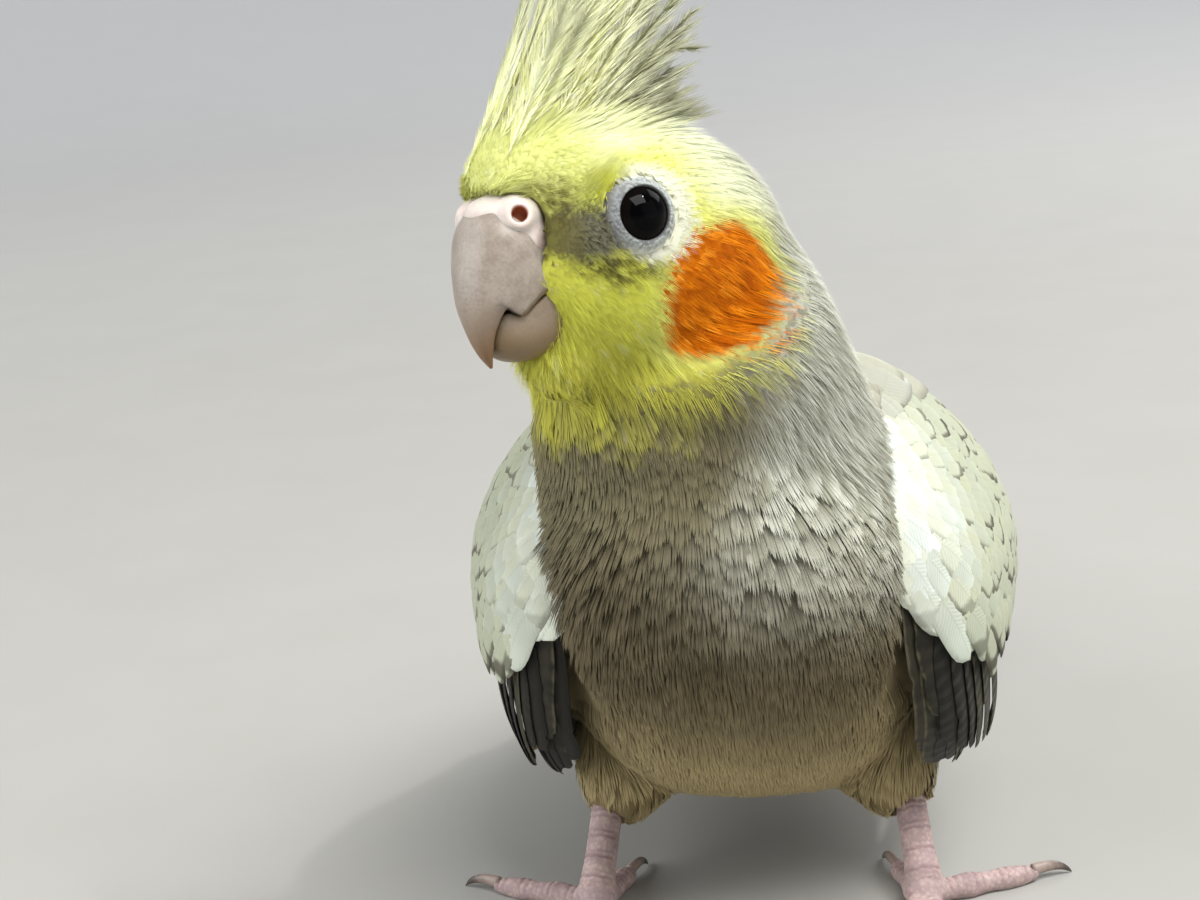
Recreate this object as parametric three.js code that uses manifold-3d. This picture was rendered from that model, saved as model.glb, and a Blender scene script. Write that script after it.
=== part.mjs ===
// A young pearl cockatiel standing on a flat floor with its head turned to its right.
// Life size, in millimetres. +Z is up, the body faces -Y and the bird's left is +X.
import * as THREE from "three";
import { mergeVertices } from "three/addons/utils/BufferGeometryUtils.js";
import Module from "manifold-3d";

const wasm = await Module();
wasm.setup();

// Driving dimensions
const GAP = 0.3; // clearance kept between neighbouring pieces

const TORSO = {
  centre: [0, 12, 40],
  halfLength: 44,
  halfWidth: 23.5,
  back: 20,
  belly: 29,
  lean: 39, // degrees that the body axis rises towards the breast
  taper: 0.12, // how much narrower the rump end is
  fullness: 2.7, // 2 gives a round underside, and more gives a squarer one
};

const HEAD = {
  eyes: [-12.5, -23, 89.3], // midpoint between the two eyes
  turn: 43, // degrees to the bird's right
  lift: 11, // degrees that the bill is raised
  tip: -7, // degrees that the head leans over
  centreBack: 8, // skull centre behind the eyes
  centreDown: 1.4,
  halfLength: 19.8,
  halfWidth: 13.3,
  crown: 13,
  chin: 14.5,
  brow: { forward: 4, up: 3.6, halfWidth: 9.5, halfLength: 8.4, halfHeight: 7.6 },
};

const NECK = { topRadius: 15.2, napeRadius: 17.3, bottomRadius: 21.5, topBack: 12.8, topDown: 6.5 };

const EYE = {
  radius: 4,
  out: 8.9, // eyeball centre from the head's middle
  opening: 3.1,
  forward: 14, // degrees that each eye looks forward
  ring: 4.3, // outer radius of the bare lid skin
  ringRise: 0.65,
};

const BILL = {
  halfWidth: 4.9,
  halfDepth: 5,
  baseForward: 5,
  baseDown: 3.3,
  tipForward: 10.3,
  tipDown: 14.8,
};

const CERE = { forward: 9, up: 0.2, nostrilOut: 3.1, nostrilRadius: 0.85, bulge: 2.4 };

const CREST = {
  feathers: 18,
  front: 9.6, // places along the crown, forward of the eyes
  rear: -9,
  longest: 47,
  width: 4.4,
  bedWidth: 3.9, // the bed of short feathers that the long ones stand in
  bedHeight: 3.2,
};

const WING = {
  wrist: [0, -12, 54], // the wing's surface curves round a line through these three points
  elbow: [0, 24, 26.5],
  tip: [0, 122, 8.5],
  thickness: 0.75,
  primaryRise: 0.4, // how far each layer lies off the wing's inner surface
  secondaryRise: 3.2,
  covertRise: 4.3,
  padLength: [[0, 0.23], [0.3, 0.25], [0.5, 0.42], [1, 0.42]], // share of the length under small coverts, by turn
  padThickness: 3.1,
  layer: 0.4, // how far each flight feather lies over the next
  primaries: 7,
  primaryCoverts: 4,
  secondaries: 6,
  greaterCoverts: 6,
  medianCoverts: 5,
};

const TAIL = {
  rump: { startY: 26, startZ: 24, endY: 92, endZ: 9.8, halfWidth: 15, halfDepth: 12 },
  rootY: 62,
  rootZ: 17,
  tipY: 202,
  pairs: 6,
  step: 0.095, // how much shorter each pair is than the one inside it
  centralExtra: 0.08,
  width: 10.5,
  layer: 0.75, // how far one pair lies below the next
  roof: 12, // degrees that the vanes slope down to each side
  thickness: 0.95,
};

const LEG = {
  apart: 20, // half the distance between the feet
  footY: -1,
  ankle: 4,
  heel: [18.5, 7.5, 12.5],
  hip: [11.5, 12, 27],
  shankRadius: 2,
  thighTop: 9.6,
  thighBottom: 4.8,
};

const TOE = { radius: 1.6, height: 1.05, endRadius: 1.3, claw: 5, clawRadius: 0.85 };

// Small helpers
const DEGREE = Math.PI / 180;
const vec = (x, y, z) => new THREE.Vector3(x, y, z);
const mix = THREE.MathUtils.lerp;
const smooth = (x, low, high) => THREE.MathUtils.smoothstep(x, low, high);

// A value read smoothly from [place, value] stations.
function along(stations, place) {
  const last = stations.length - 1;
  if (place <= stations[0][0]) return stations[0][1];
  if (place >= stations[last][0]) return stations[last][1];
  const i = stations.findIndex(([at]) => at > place) - 1;
  const [x0, y0] = stations[i];
  const [x1, y1] = stations[i + 1];
  const slope = (j) => {
    const a = stations[Math.max(j - 1, 0)];
    const b = stations[Math.min(j + 1, last)];
    return (b[1] - a[1]) / (b[0] - a[0]);
  };
  const span = x1 - x0;
  const u = (place - x0) / span;
  const [u2, u3] = [u * u, u * u * u];
  return (
    (2 * u3 - 3 * u2 + 1) * y0 +
    (u3 - 2 * u2 + u) * span * slope(i) +
    (3 * u2 - 2 * u3) * y1 +
    (u3 - u2) * span * slope(i + 1)
  );
}

function geometryOf(points, faces) {
  const geometry = new THREE.BufferGeometry();
  geometry.setAttribute(
    "position",
    new THREE.Float32BufferAttribute(points.flatMap((p) => [p.x, p.y, p.z]), 3),
  );
  geometry.setIndex(faces);
  return outward(geometry);
}

// Turns a closed geometry's faces round if they point inwards.
function outward(geometry) {
  const p = geometry.getAttribute("position");
  const index = geometry.index.array;
  const [a, b, c] = [vec(), vec(), vec()];
  let volume = 0;
  for (let i = 0; i < index.length; i += 3) {
    a.fromBufferAttribute(p, index[i]);
    b.fromBufferAttribute(p, index[i + 1]);
    c.fromBufferAttribute(p, index[i + 2]);
    volume += a.dot(b.cross(c));
  }
  if (volume < 0) {
    for (let i = 0; i < index.length; i += 3) {
      [index[i + 1], index[i + 2]] = [index[i + 2], index[i + 1]];
    }
  }
  return geometry;
}

const middle = (ring) =>
  ring.reduce((sum, p) => sum.add(p), vec(0, 0, 0)).divideScalar(ring.length);

// A closed skin through rings of points. Each end is drawn in to one point.
function loft(rings, start = middle(rings[0]), end = middle(rings.at(-1))) {
  const sides = rings[0].length;
  const points = [start, ...rings.flat(), end];
  const last = points.length - 1;
  const faces = [];
  for (let side = 0; side < sides; side++) {
    const next = (side + 1) % sides;
    faces.push(0, 1 + next, 1 + side);
    faces.push(last, last - sides + side, last - sides + next);
    for (let ring = 0; ring < rings.length - 1; ring++) {
      const a = 1 + ring * sides + side;
      const b = 1 + ring * sides + next;
      faces.push(a, b, b + sides, a, b + sides, a + sides);
    }
  }
  return geometryOf(points, faces);
}

// A closed plate between two matching grids of points, split alike on both faces.
function plate(top, bottom) {
  const rows = top.length;
  const columns = top[0].length;
  const points = [...top.flat(), ...bottom.flat()];
  const under = rows * columns;
  const at = (row, column) => row * columns + column;
  const faces = [];
  for (let r = 0; r < rows - 1; r++) {
    for (let c = 0; c < columns - 1; c++) {
      const [p, q, s, t] = [at(r, c), at(r, c + 1), at(r + 1, c), at(r + 1, c + 1)];
      faces.push(p, q, t, p, t, s);
      faces.push(under + p, under + t, under + q, under + p, under + s, under + t);
    }
  }
  const rim = [];
  for (let c = 0; c < columns - 1; c++) rim.push([at(0, c), at(0, c + 1)]);
  for (let r = 0; r < rows - 1; r++) rim.push([at(r, columns - 1), at(r + 1, columns - 1)]);
  for (let c = columns - 1; c > 0; c--) rim.push([at(rows - 1, c), at(rows - 1, c - 1)]);
  for (let r = rows - 1; r > 0; r--) rim.push([at(r, 0), at(r - 1, 0)]);
  for (const [a, b] of rim) faces.push(b, a, under + a, b, under + a, under + b);
  return geometryOf(points, faces);
}

// Rings round a path, each an ellipse. sizes(u) gives [half across, depth over, depth under].
function ringsOn(path, across, sizes, count, sides) {
  const rings = [];
  for (let k = 0; k <= count; k++) {
    const u = k / count;
    const at = path.getPoint(u);
    const ahead = path.getTangent(u);
    const deep = ahead.clone().cross(across).normalize();
    const wide = deep.clone().cross(ahead).normalize();
    const [w, over, under = over] = sizes(u);
    rings.push(ellipse(at, wide, deep, w, over, under, sides));
  }
  return rings;
}

// One ring: wide and deep are unit directions, and the two depths may differ.
// A fullness over 2 squares off its underside.
function ellipse(at, wide, deep, halfWide, depthOver, depthUnder, sides, fullness = 2) {
  const fuller = (value) => Math.sign(value) * Math.abs(value) ** (2 / fullness);
  return Array.from({ length: sides }, (_, k) => {
    const angle = (2 * Math.PI * k) / sides;
    const [spread, rise] = [Math.cos(angle), Math.sin(angle)];
    return at
      .clone()
      .addScaledVector(wide, halfWide * (rise > 0 ? spread : fuller(spread)))
      .addScaledVector(deep, rise > 0 ? depthOver * rise : depthUnder * fuller(rise));
  });
}

// An egg: its axis runs from the blunt end to the narrow end.
function egg({ at, axis, up, length, width, over, under, taper = 0, fullness, rings = 10, sides = 20 }) {
  const wide = axis.clone().cross(up).normalize();
  const deep = up.clone();
  const made = [];
  for (let k = 1; k < rings; k++) {
    const t = -Math.cos((Math.PI * k) / rings);
    const share = Math.sqrt(1 - t * t) * (1 - taper * t);
    const centre = at.clone().addScaledVector(axis, length * t);
    made.push(ellipse(centre, wide, deep, width * share, over * share, under * share, sides, fullness));
  }
  return loft(
    made,
    at.clone().addScaledVector(axis, -length),
    at.clone().addScaledVector(axis, length),
  );
}

// Solids: a closed geometry as something that can be joined and cut, and back again.
function solid(geometry, place) {
  const bare = new THREE.BufferGeometry();
  bare.setAttribute("position", geometry.getAttribute("position").clone());
  bare.setIndex(geometry.index);
  if (place) bare.applyMatrix4(place);
  const merged = mergeVertices(bare, 1e-4);
  return new wasm.Manifold(
    new wasm.Mesh({
      numProp: 3,
      vertProperties: merged.attributes.position.array,
      triVerts: new Uint32Array(merged.index.array),
    }),
  );
}

const join = (...solids) => solids.flat().reduce((whole, piece) => whole.add(piece));

const largest = (whole) =>
  whole.decompose().reduce((best, piece) => (piece.volume() > best.volume() ? piece : best));

function geometryFrom(whole) {
  const { numProp, numVert, vertProperties, triVerts } = whole.getMesh();
  const positions = new Float32Array(numVert * 3);
  for (let i = 0; i < numVert; i++) {
    positions.set(vertProperties.subarray(i * numProp, i * numProp + 3), i * 3);
  }
  const geometry = new THREE.BufferGeometry();
  geometry.setAttribute("position", new THREE.BufferAttribute(positions, 3));
  geometry.setIndex(new THREE.BufferAttribute(new Uint32Array(triVerts), 1));
  geometry.computeVertexNormals();
  return geometry;
}

function paint(colour, roughness) {
  return new THREE.MeshStandardMaterial({ color: colour, roughness, metalness: 0 });
}

const finish = {
  face: paint(0xe6e36a, 0.85),
  plumage: paint(0x9a968a, 0.9),
  covert: paint(0xe9ecd2, 0.85),
  flight: paint(0x4a4740, 0.7),
  tail: paint(0xc9c48a, 0.75),
  crest: paint(0xdad98a, 0.85),
  bill: paint(0xcdb9a8, 0.45),
  cere: paint(0xe2c3b8, 0.55),
  eye: paint(0x0b0b0d, 0.05),
  lid: paint(0xa9a9ae, 0.7),
  foot: paint(0xc9aeae, 0.75),
  claw: paint(0x8a7f78, 0.5),
};

const bird = new THREE.Group();
const headGroup = new THREE.Group();
bird.add(headGroup);

function add(group, name, whole, material) {
  const mesh = new THREE.Mesh(geometryFrom(largest(whole)), material);
  mesh.name = name;
  group.add(mesh);
}

// A small repeatable variation from -1 to 1.
const vary = (seed) => 2 * (Math.abs(Math.sin(seed * 127.1 + 11.7) * 43758.5453) % 1) - 1;

// Everything that rests on the floor is trimmed level with it.
const floorBlock = solid(new THREE.BoxGeometry(400, 600, 20).translate(0, 60, -10));

// Torso
const torsoAxis = vec(0, Math.cos(TORSO.lean * DEGREE), -Math.sin(TORSO.lean * DEGREE));
const torsoUp = vec(0, Math.sin(TORSO.lean * DEGREE), Math.cos(TORSO.lean * DEGREE));

function torsoShape(grow) {
  return solid(
    egg({
      at: vec(...TORSO.centre),
      axis: torsoAxis,
      up: torsoUp,
      length: TORSO.halfLength + grow,
      width: TORSO.halfWidth + grow,
      over: TORSO.back + grow,
      under: TORSO.belly + grow,
      taper: TORSO.taper,
      fullness: TORSO.fullness,
      rings: 12,
      sides: 24,
    }),
  );
}
const torsoGrown = torsoShape(GAP);

// Head frame: local +X is the bird's left, local -Y is forward, and the eyes' midpoint is at 0.
headGroup.position.set(...HEAD.eyes);
headGroup.rotation.order = "ZXY";
headGroup.rotation.set(-HEAD.lift * DEGREE, HEAD.tip * DEGREE, -HEAD.turn * DEGREE);
headGroup.updateMatrixWorld(true);
const headPlace = headGroup.matrixWorld;

const ball = (at, rx, ry, rz, detail = 10) =>
  solid(
    new THREE.SphereGeometry(1, detail, Math.round(detail * 0.7))
      .scale(rx, ry, rz)
      .translate(at.x, at.y, at.z),
  );

// A place on the head. forward and up are measured from the eyes' midpoint.
const facePoint = (out, forward, up) => vec(out, -forward, up);

function headShape(grow) {
  const skull = egg({
    at: vec(0, HEAD.centreBack, -HEAD.centreDown),
    axis: vec(0, 1, 0),
    up: vec(0, 0, 1),
    length: HEAD.halfLength + grow,
    width: HEAD.halfWidth + grow,
    over: HEAD.crown + grow,
    under: HEAD.chin + grow,
    taper: 0.02,
    rings: 11,
    sides: 20,
  });
  const { forward, up, halfWidth, halfLength, halfHeight } = HEAD.brow;
  const brow = ball(facePoint(0, forward, up), halfWidth + grow, halfLength + grow, halfHeight + grow);
  return solid(skull).add(brow);
}

// The bill and cere, in the head's frame
function upperBill(grow) {
  const path = new THREE.CatmullRomCurve3([
    facePoint(0, BILL.baseForward, -BILL.baseDown),
    facePoint(0, BILL.baseForward + 4.6, -BILL.baseDown - 0.2),
    facePoint(0, BILL.tipForward + 1, -BILL.baseDown - 2.9),
    facePoint(0, BILL.tipForward + 1.4, -BILL.tipDown + 5.2),
    facePoint(0, BILL.tipForward, -BILL.tipDown + 0.3),
  ]);
  const wide = [[0, 1], [0.3, 1], [0.55, 0.84], [0.78, 0.5], [0.93, 0.2], [1, 0.07]];
  const over = [[0, 1], [0.3, 0.98], [0.55, 0.7], [0.78, 0.42], [0.93, 0.2], [1, 0.07]];
  const under = [[0, 1], [0.2, 0.7], [0.45, 0.38], [0.78, 0.36], [0.93, 0.18], [1, 0.07]];
  const size = (u) => [
    BILL.halfWidth * along(wide, u) + grow,
    BILL.halfDepth * along(over, u) + grow,
    BILL.halfDepth * along(under, u) + grow,
  ];
  const horn = solid(loft(ringsOn(path, vec(1, 0, 0), size, 9, 12)));
  const lobes = [1, -1].map((side) =>
    ball(facePoint(side * 2.6, 8.6, -7.4), 1.3 + grow, 2 + grow, 2.2 + grow, 8),
  );
  return join(horn, lobes);
}

function lowerBill(grow) {
  const path = new THREE.CatmullRomCurve3([
    facePoint(0, 3, -8.4),
    facePoint(0, 6.6, -10.4),
    facePoint(0, 9, -11.2),
    facePoint(0, 10.6, -10.4),
  ]);
  const size = (u) => [
    along([[0, 4.4], [0.5, 4.1], [0.8, 3.3], [1, 1.7]], u) + grow,
    along([[0, 3], [0.5, 3.3], [0.8, 2.9], [1, 1.5]], u) + grow,
  ];
  return solid(loft(ringsOn(path, vec(1, 0, 0), size, 7, 12)));
}

function cereShape(grow) {
  const { forward, up, nostrilOut, bulge } = CERE;
  const saddle = ball(facePoint(0, forward - 0.6, up), 4.2 + grow, 4.5 + grow, 2.5 + grow, 8);
  const round = bulge + grow;
  const bulges = [1, -1].flatMap((side) => [
    ball(facePoint(side * nostrilOut, forward + 0.5, up - 0.2), round, round + 0.4, round),
    ball(facePoint(side * 4.2, 7.4, -2.4), 1.8 + grow, 3.4 + grow, 2.6 + grow, 8),
  ]);
  return join(saddle, bulges);
}

// A round pit that opens along the way the nostril faces.
function nostrilPit(side) {
  const facing = facePoint(side * 0.8, 0.58, 0.12).normalize();
  const centre = facePoint(side * CERE.nostrilOut, CERE.forward + 0.5, CERE.up - 0.2);
  const path = new THREE.LineCurve3(
    centre.clone().addScaledVector(facing, CERE.bulge - 1.2),
    centre.clone().addScaledVector(facing, CERE.bulge + 2),
  );
  const size = () => [CERE.nostrilRadius, CERE.nostrilRadius];
  return solid(loft(ringsOn(path, vec(0, 0, 1), size, 1, 10)));
}

// Eyes and lids
function eyeAxis(side) {
  const angle = EYE.forward * DEGREE;
  return facePoint(side * Math.cos(angle), Math.sin(angle), 0.06).normalize();
}
const eyeCentre = (side) => facePoint(side * EYE.out, 0, 0);
const eyeball = (side, grow) => {
  const r = EYE.radius + grow;
  return ball(eyeCentre(side), r, r, r, 12);
};

function lidDisc(side, grow) {
  const top = Math.sqrt(EYE.radius ** 2 - EYE.opening ** 2);
  const outline = [
    new THREE.Vector2(0, top - 2.4 - grow),
    new THREE.Vector2(EYE.ring + grow, top - 2.2 - grow),
    new THREE.Vector2(EYE.ring + grow, top - 0.7),
    new THREE.Vector2(EYE.ring * 0.86, top + EYE.ringRise * 0.4),
    new THREE.Vector2(EYE.opening + 0.35, top + EYE.ringRise),
    new THREE.Vector2(0, top + EYE.ringRise),
  ];
  const disc = new THREE.LatheGeometry(outline, 14);
  const turned = new THREE.Quaternion().setFromUnitVectors(vec(0, 1, 0), eyeAxis(side));
  const place = new THREE.Matrix4().compose(eyeCentre(side), turned, vec(1, 1, 1));
  return solid(outward(disc), place);
}

const upper = upperBill(0);
const cere = cereShape(0);
let head = headShape(0);
for (const cutter of [upperBill(GAP), cereShape(GAP), lowerBill(GAP)]) head = head.subtract(cutter);
for (const side of [1, -1]) head = head.subtract(join(eyeball(side, GAP), lidDisc(side, GAP)));

add(headGroup, "head", head, finish.face);
add(headGroup, "bill_upper", upper.subtract(cereShape(GAP)), finish.bill);
add(headGroup, "bill_lower", lowerBill(0).subtract(join(upperBill(GAP), cereShape(GAP))), finish.bill);
add(headGroup, "cere", cere.subtract(join(nostrilPit(1), nostrilPit(-1))), finish.cere);
for (const [name, side] of [["left", 1], ["right", -1]]) {
  add(headGroup, `eye_${name}`, eyeball(side, 0), finish.eye);
  add(headGroup, `lids_${name}`, lidDisc(side, 0).subtract(eyeball(side, GAP)), finish.lid);
}

// A vane: a thin tapered plate. spine(u) gives { at, across, normal } from root to tip.
function vane(spine, widths, thickness, rows) {
  const top = [];
  const bottom = [];
  for (let k = 0; k <= rows; k++) {
    const u = k / rows;
    const { at, across, normal } = spine(u);
    const half = along(widths, u) / 2;
    const deep = (thickness * (1 - 0.45 * u)) / 2;
    const line = [-1, 1].map((c) => at.clone().addScaledVector(across, half * c));
    top.push(line.map((p) => p.clone().addScaledVector(normal, deep)));
    bottom.push(line.map((p) => p.clone().addScaledVector(normal, -deep)));
  }
  return solid(plate(top, bottom));
}

// Crest, in the head's frame: feathers stand in a narrow band along the crown.
function crownPoint(out, forward) {
  const height = (along, across) => Math.sqrt(Math.max(0.05, 1 - along ** 2 - across ** 2));
  const { brow, crown, centreBack, centreDown, halfLength, halfWidth } = HEAD;
  const skull = crown * height((forward + centreBack) / halfLength, out / halfWidth) - centreDown;
  const rise = height((forward - brow.forward) / brow.halfLength, out / brow.halfWidth);
  return facePoint(out, forward, Math.max(skull, brow.up + brow.halfHeight * rise));
}

function crestFeather(k) {
  const place = k / (CREST.feathers - 1); // 0 at the forehead, 1 at the back
  const side = k % 2 ? 1 : -1;
  const out = side * (0.6 + 1.9 * Math.abs(vary(k)));
  const root = crownPoint(out, mix(CREST.front, CREST.rear, place));
  root.z -= 0.8;
  const length = CREST.longest * along([[0, 0.5], [0.2, 0.9], [0.45, 1], [0.65, 0.45], [1, 0.24]], place);
  const rise = (along([[0, 62], [0.45, 54], [0.7, 34], [1, 14]], place) + 4 * vary(k + 40)) * DEGREE;
  const bend = along([[0, 0], [0.4, -8], [1, 10]], place) * DEGREE;
  const splay = side * (2 + 5 * Math.abs(vary(k + 80))) * DEGREE;
  const heading = (angle) =>
    vec(Math.sin(splay), Math.cos(angle) * Math.cos(splay), Math.sin(angle) * Math.cos(splay));
  const tip = root
    .clone()
    .addScaledVector(heading(rise), length * 0.5)
    .addScaledVector(heading(rise + bend), length * 0.5);
  const path = new THREE.QuadraticBezierCurve3(
    root,
    root.clone().addScaledVector(heading(rise), length * 0.5),
    tip,
  );
  const spine = (u) => {
    const ahead = path.getTangent(u);
    const across = vec(0.9, 0, 0).addScaledVector(vec(0, 1, 0), 0.55 * side);
    const normal = across.clone().cross(ahead).normalize();
    return { at: path.getPoint(u), across: ahead.clone().cross(normal).normalize(), normal };
  };
  const widths = [[0, 0.6], [0.3, 1], [0.65, 0.9], [1, 0.18]].map(([u, w]) => [u, w * CREST.width]);
  return vane(spine, widths, 0.9, 4);
}

function crestShape() {
  const places = [CREST.front + 1, 6, 1, -4, CREST.rear - 1];
  const path = new THREE.CatmullRomCurve3(places.map((forward) => crownPoint(0, forward)));
  const size = (u) => {
    const share = Math.sqrt(1 - 0.85 * (2 * u - 1) ** 2);
    return [CREST.bedWidth * share, CREST.bedHeight * share];
  };
  const bed = solid(loft(ringsOn(path, vec(1, 0, 0), size, 7, 8)));
  const feathers = Array.from({ length: CREST.feathers }, (_, k) => crestFeather(k));
  return join(bed, feathers).subtract(headShape(GAP));
}
add(headGroup, "crest", crestShape(), finish.crest);

// Neck, between the head and the trunk
function neckShape(grow) {
  const top = vec(0, NECK.topBack, -NECK.topDown).applyMatrix4(headPlace);
  const bottom = vec(...TORSO.centre).addScaledVector(torsoAxis, -TORSO.halfLength * 0.35);
  const bend = vec(top.x * 0.6, mix(top.y, bottom.y, 0.45) + 0.6, mix(top.z, bottom.z, 0.5));
  const path = new THREE.QuadraticBezierCurve3(top, bend, bottom);
  const size = (u) => {
    const r = along([[0, NECK.topRadius], [0.15, NECK.napeRadius], [1, NECK.bottomRadius]], u) + grow;
    return [r, r];
  };
  return solid(loft(ringsOn(path, vec(1, 0, 0), size, 7, 22)));
}
const headAndBill = join(headShape(GAP), lowerBill(GAP)).transform([...headPlace.elements]);
add(bird, "torso", torsoShape(0), finish.plumage);
add(bird, "neck", neckShape(0).subtract(torsoGrown).subtract(headAndBill), finish.plumage);

// Wing surface: share runs from the wrist to the tip, and turn from the lower edge to the back.
const wingLine = new THREE.QuadraticBezierCurve3(vec(...WING.wrist), vec(...WING.elbow), vec(...WING.tip));
// How far it stands out to the side and towards the back, and its two edges as angles.
const wingOut = [[0, 15.5], [0.08, 20.8], [0.2, 24.8], [0.35, 25.4], [0.5, 21.6], [0.65, 15.4], [1, 3.6]];
const wingBack = [[0, 17], [0.08, 20], [0.2, 21], [0.35, 18], [0.5, 14], [0.65, 11], [1, 5]];
const wingLow = [[0, -8], [0.08, -34], [0.2, -56], [0.33, -68], [0.46, -66], [0.6, -44], [0.8, -18], [1, 4]];
const wingHigh = [[0, 40], [0.12, 66], [0.3, 84], [0.5, 88], [1, 84]];

function wingPoint(side, share, turn, rise) {
  const at = wingLine.getPoint(share);
  const ahead = wingLine.getTangent(share);
  const back = vec(1, 0, 0).cross(ahead).normalize();
  if (back.z < 0) back.negate();
  const angle = mix(along(wingLow, share), along(wingHigh, share), turn) * DEGREE;
  const out = along(wingOut, share);
  const over = angle > 0 ? along(wingBack, share) : out;
  const curl = angle > 0 ? angle : angle * 0.5; // below its middle the wing hangs nearly straight
  const normal = vec(side * Math.cos(curl) * over, 0, 0)
    .addScaledVector(back, Math.sin(curl) * out)
    .normalize();
  return at
    .clone()
    .addScaledVector(vec(side, 0, 0), out * Math.cos(curl))
    .addScaledVector(back, over * Math.sin(angle))
    .addScaledVector(normal, rise);
}

// A vane laid on the wing surface. Its root starts inside the pad, at rootRise.
function wingVane(side, { from, to, width, rise, rootRise = rise, sink = 0, tilt = 0.1, rows, shape }) {
  const top = [];
  const bottom = [];
  for (let k = 0; k <= rows; k++) {
    const u = k / rows;
    const share = mix(from[0], to[0], u);
    const turn = mix(from[1], to[1], u);
    const half = (width * along(shape, u)) / 2;
    const step = wingPoint(side, share, turn + 0.02, 0).distanceTo(wingPoint(side, share, turn - 0.02, 0));
    const swing = half / Math.max(step / 0.04, 4);
    const level = mix(rootRise, rise, smooth(u, 0, 0.3)) - sink * u * u;
    const deep = (WING.thickness * (1 - 0.3 * u)) / 2;
    const line = [-1, 1].map((c) => [turn + swing * c, level - tilt * c]);
    top.push(line.map(([t, r]) => wingPoint(side, share, t, r + deep)));
    bottom.push(line.map(([t, r]) => wingPoint(side, share, t, r - deep)));
  }
  return solid(plate(top, bottom));
}

const flightShape = [[0, 0.55], [0.25, 1], [0.75, 0.95], [0.92, 0.62], [1, 0.2]];
const covertShape = [[0, 0.8], [0.5, 1], [0.85, 0.8], [1, 0.35]];
const row = (count, make) => Array.from({ length: count }, (_, k) => make(k, k / (count - 1)));

const primariesOf = (side) =>
  row(WING.primaries, (k, place) =>
    wingVane(side, {
      from: [0.25, mix(0.16, 0.5, place)],
      to: [mix(1, 0.66, place), mix(0.3, 0.62, place)],
      width: 7.6,
      rise: WING.primaryRise + WING.layer * k,
      rows: 3,
      shape: flightShape,
    }),
  );

const primaryCovertsOf = (side) =>
  row(WING.primaryCoverts, (k, place) =>
    wingVane(side, {
      from: [0.17, mix(0.1, 0.36, place)],
      to: [mix(0.42, 0.48, place), mix(0.03, 0.22, place)],
      width: 8,
      rise: WING.secondaryRise - 0.6 + WING.layer * k,
      rows: 3,
      shape: flightShape,
    }),
  );

const secondariesOf = (side) =>
  row(WING.secondaries, (k, place) =>
    wingVane(side, {
      from: [0.3, mix(0.42, 0.88, place)],
      to: [mix(0.56, 0.66, place), mix(0.42, 0.93, place)],
      width: 8.5,
      rise: WING.secondaryRise + 0.5 * WING.layer * k,
      rows: 3,
      shape: flightShape,
    }),
  );

// The pad that the small coverts make. It rests on the body and its rear edge thins out.
function padShape(side) {
  const rows = 7;
  const columns = 6;
  const base = (u) => mix(-2.5, WING.covertRise, smooth(u, 0.74, 1));
  const cover = (u, turn) => {
    const ends = along([[0, 0.2], [0.17, 0.85], [0.4, 1], [0.8, 0.75], [1, 0.3]], u);
    const edges = along([[0, 0.35], [0.2, 1], [0.6, 0.9], [1, 0.2]], turn);
    return mix(1.5, WING.covertRise, smooth(u, 0, 0.5)) + WING.padThickness * ends * edges;
  };
  const layer = (rise) =>
    row(rows + 1, (_, u) =>
      row(columns + 1, (_, turn) => wingPoint(side, along(WING.padLength, turn) * u, turn, rise(u, turn))),
    );
  return solid(plate(layer(cover), layer(base)));
}

function covertRow(side, { count, start, reach, low, high, width, rise, slope = 0 }) {
  return row(count, (k, place) => {
    const turn = mix(low, high, place);
    const share = start + slope * place;
    return wingVane(side, {
      from: [share, turn],
      to: [share + reach * (1 + 0.05 * vary(k + count)), turn + 0.02],
      width,
      rise,
      rootRise: rise - 0.7,
      sink: 1,
      tilt: 0.2,
      rows: 2,
      shape: covertShape,
    });
  });
}

function covertsOf(side) {
  const greater = covertRow(side, {
    count: WING.greaterCoverts, start: 0.27, reach: 0.22, low: 0.44, high: 0.92,
    width: 7, rise: WING.covertRise + 1.5, slope: 0.02,
  });
  const median = covertRow(side, {
    count: WING.medianCoverts, start: 0.13, reach: 0.16, low: 0.12, high: 0.84,
    width: 8.4, rise: WING.covertRise + 2.5, slope: 0.07,
  });
  const scapulars = covertRow(side, {
    count: 3, start: 0.12, reach: 0.32, low: 0.78, high: 0.95,
    width: 9, rise: WING.covertRise + 2.2,
  });
  return [...greater, ...median, ...scapulars];
}

function wingShape(side) {
  const flights = [primariesOf(side), primaryCovertsOf(side), secondariesOf(side)];
  return join(padShape(side), ...flights, covertsOf(side));
}

// Tail: each pair shorter than the one inside it and lying just below, all rooted in the rump
const tailHeight = (y) => mix(TAIL.rootZ, 0.2, smooth(y, TAIL.rootY - 44, TAIL.tipY - 6));

function rumpShape() {
  const { startY, startZ, endY, endZ, halfWidth, halfDepth } = TAIL.rump;
  const path = new THREE.LineCurve3(vec(0, startY, startZ), vec(0, endY, endZ));
  const size = (u) => {
    const share = Math.sqrt(1 - 0.9 * u * u);
    return [halfWidth * share, halfDepth * share * (1 - 0.45 * u)];
  };
  return solid(loft(ringsOn(path, vec(1, 0, 0), size, 6, 16)));
}

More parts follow.
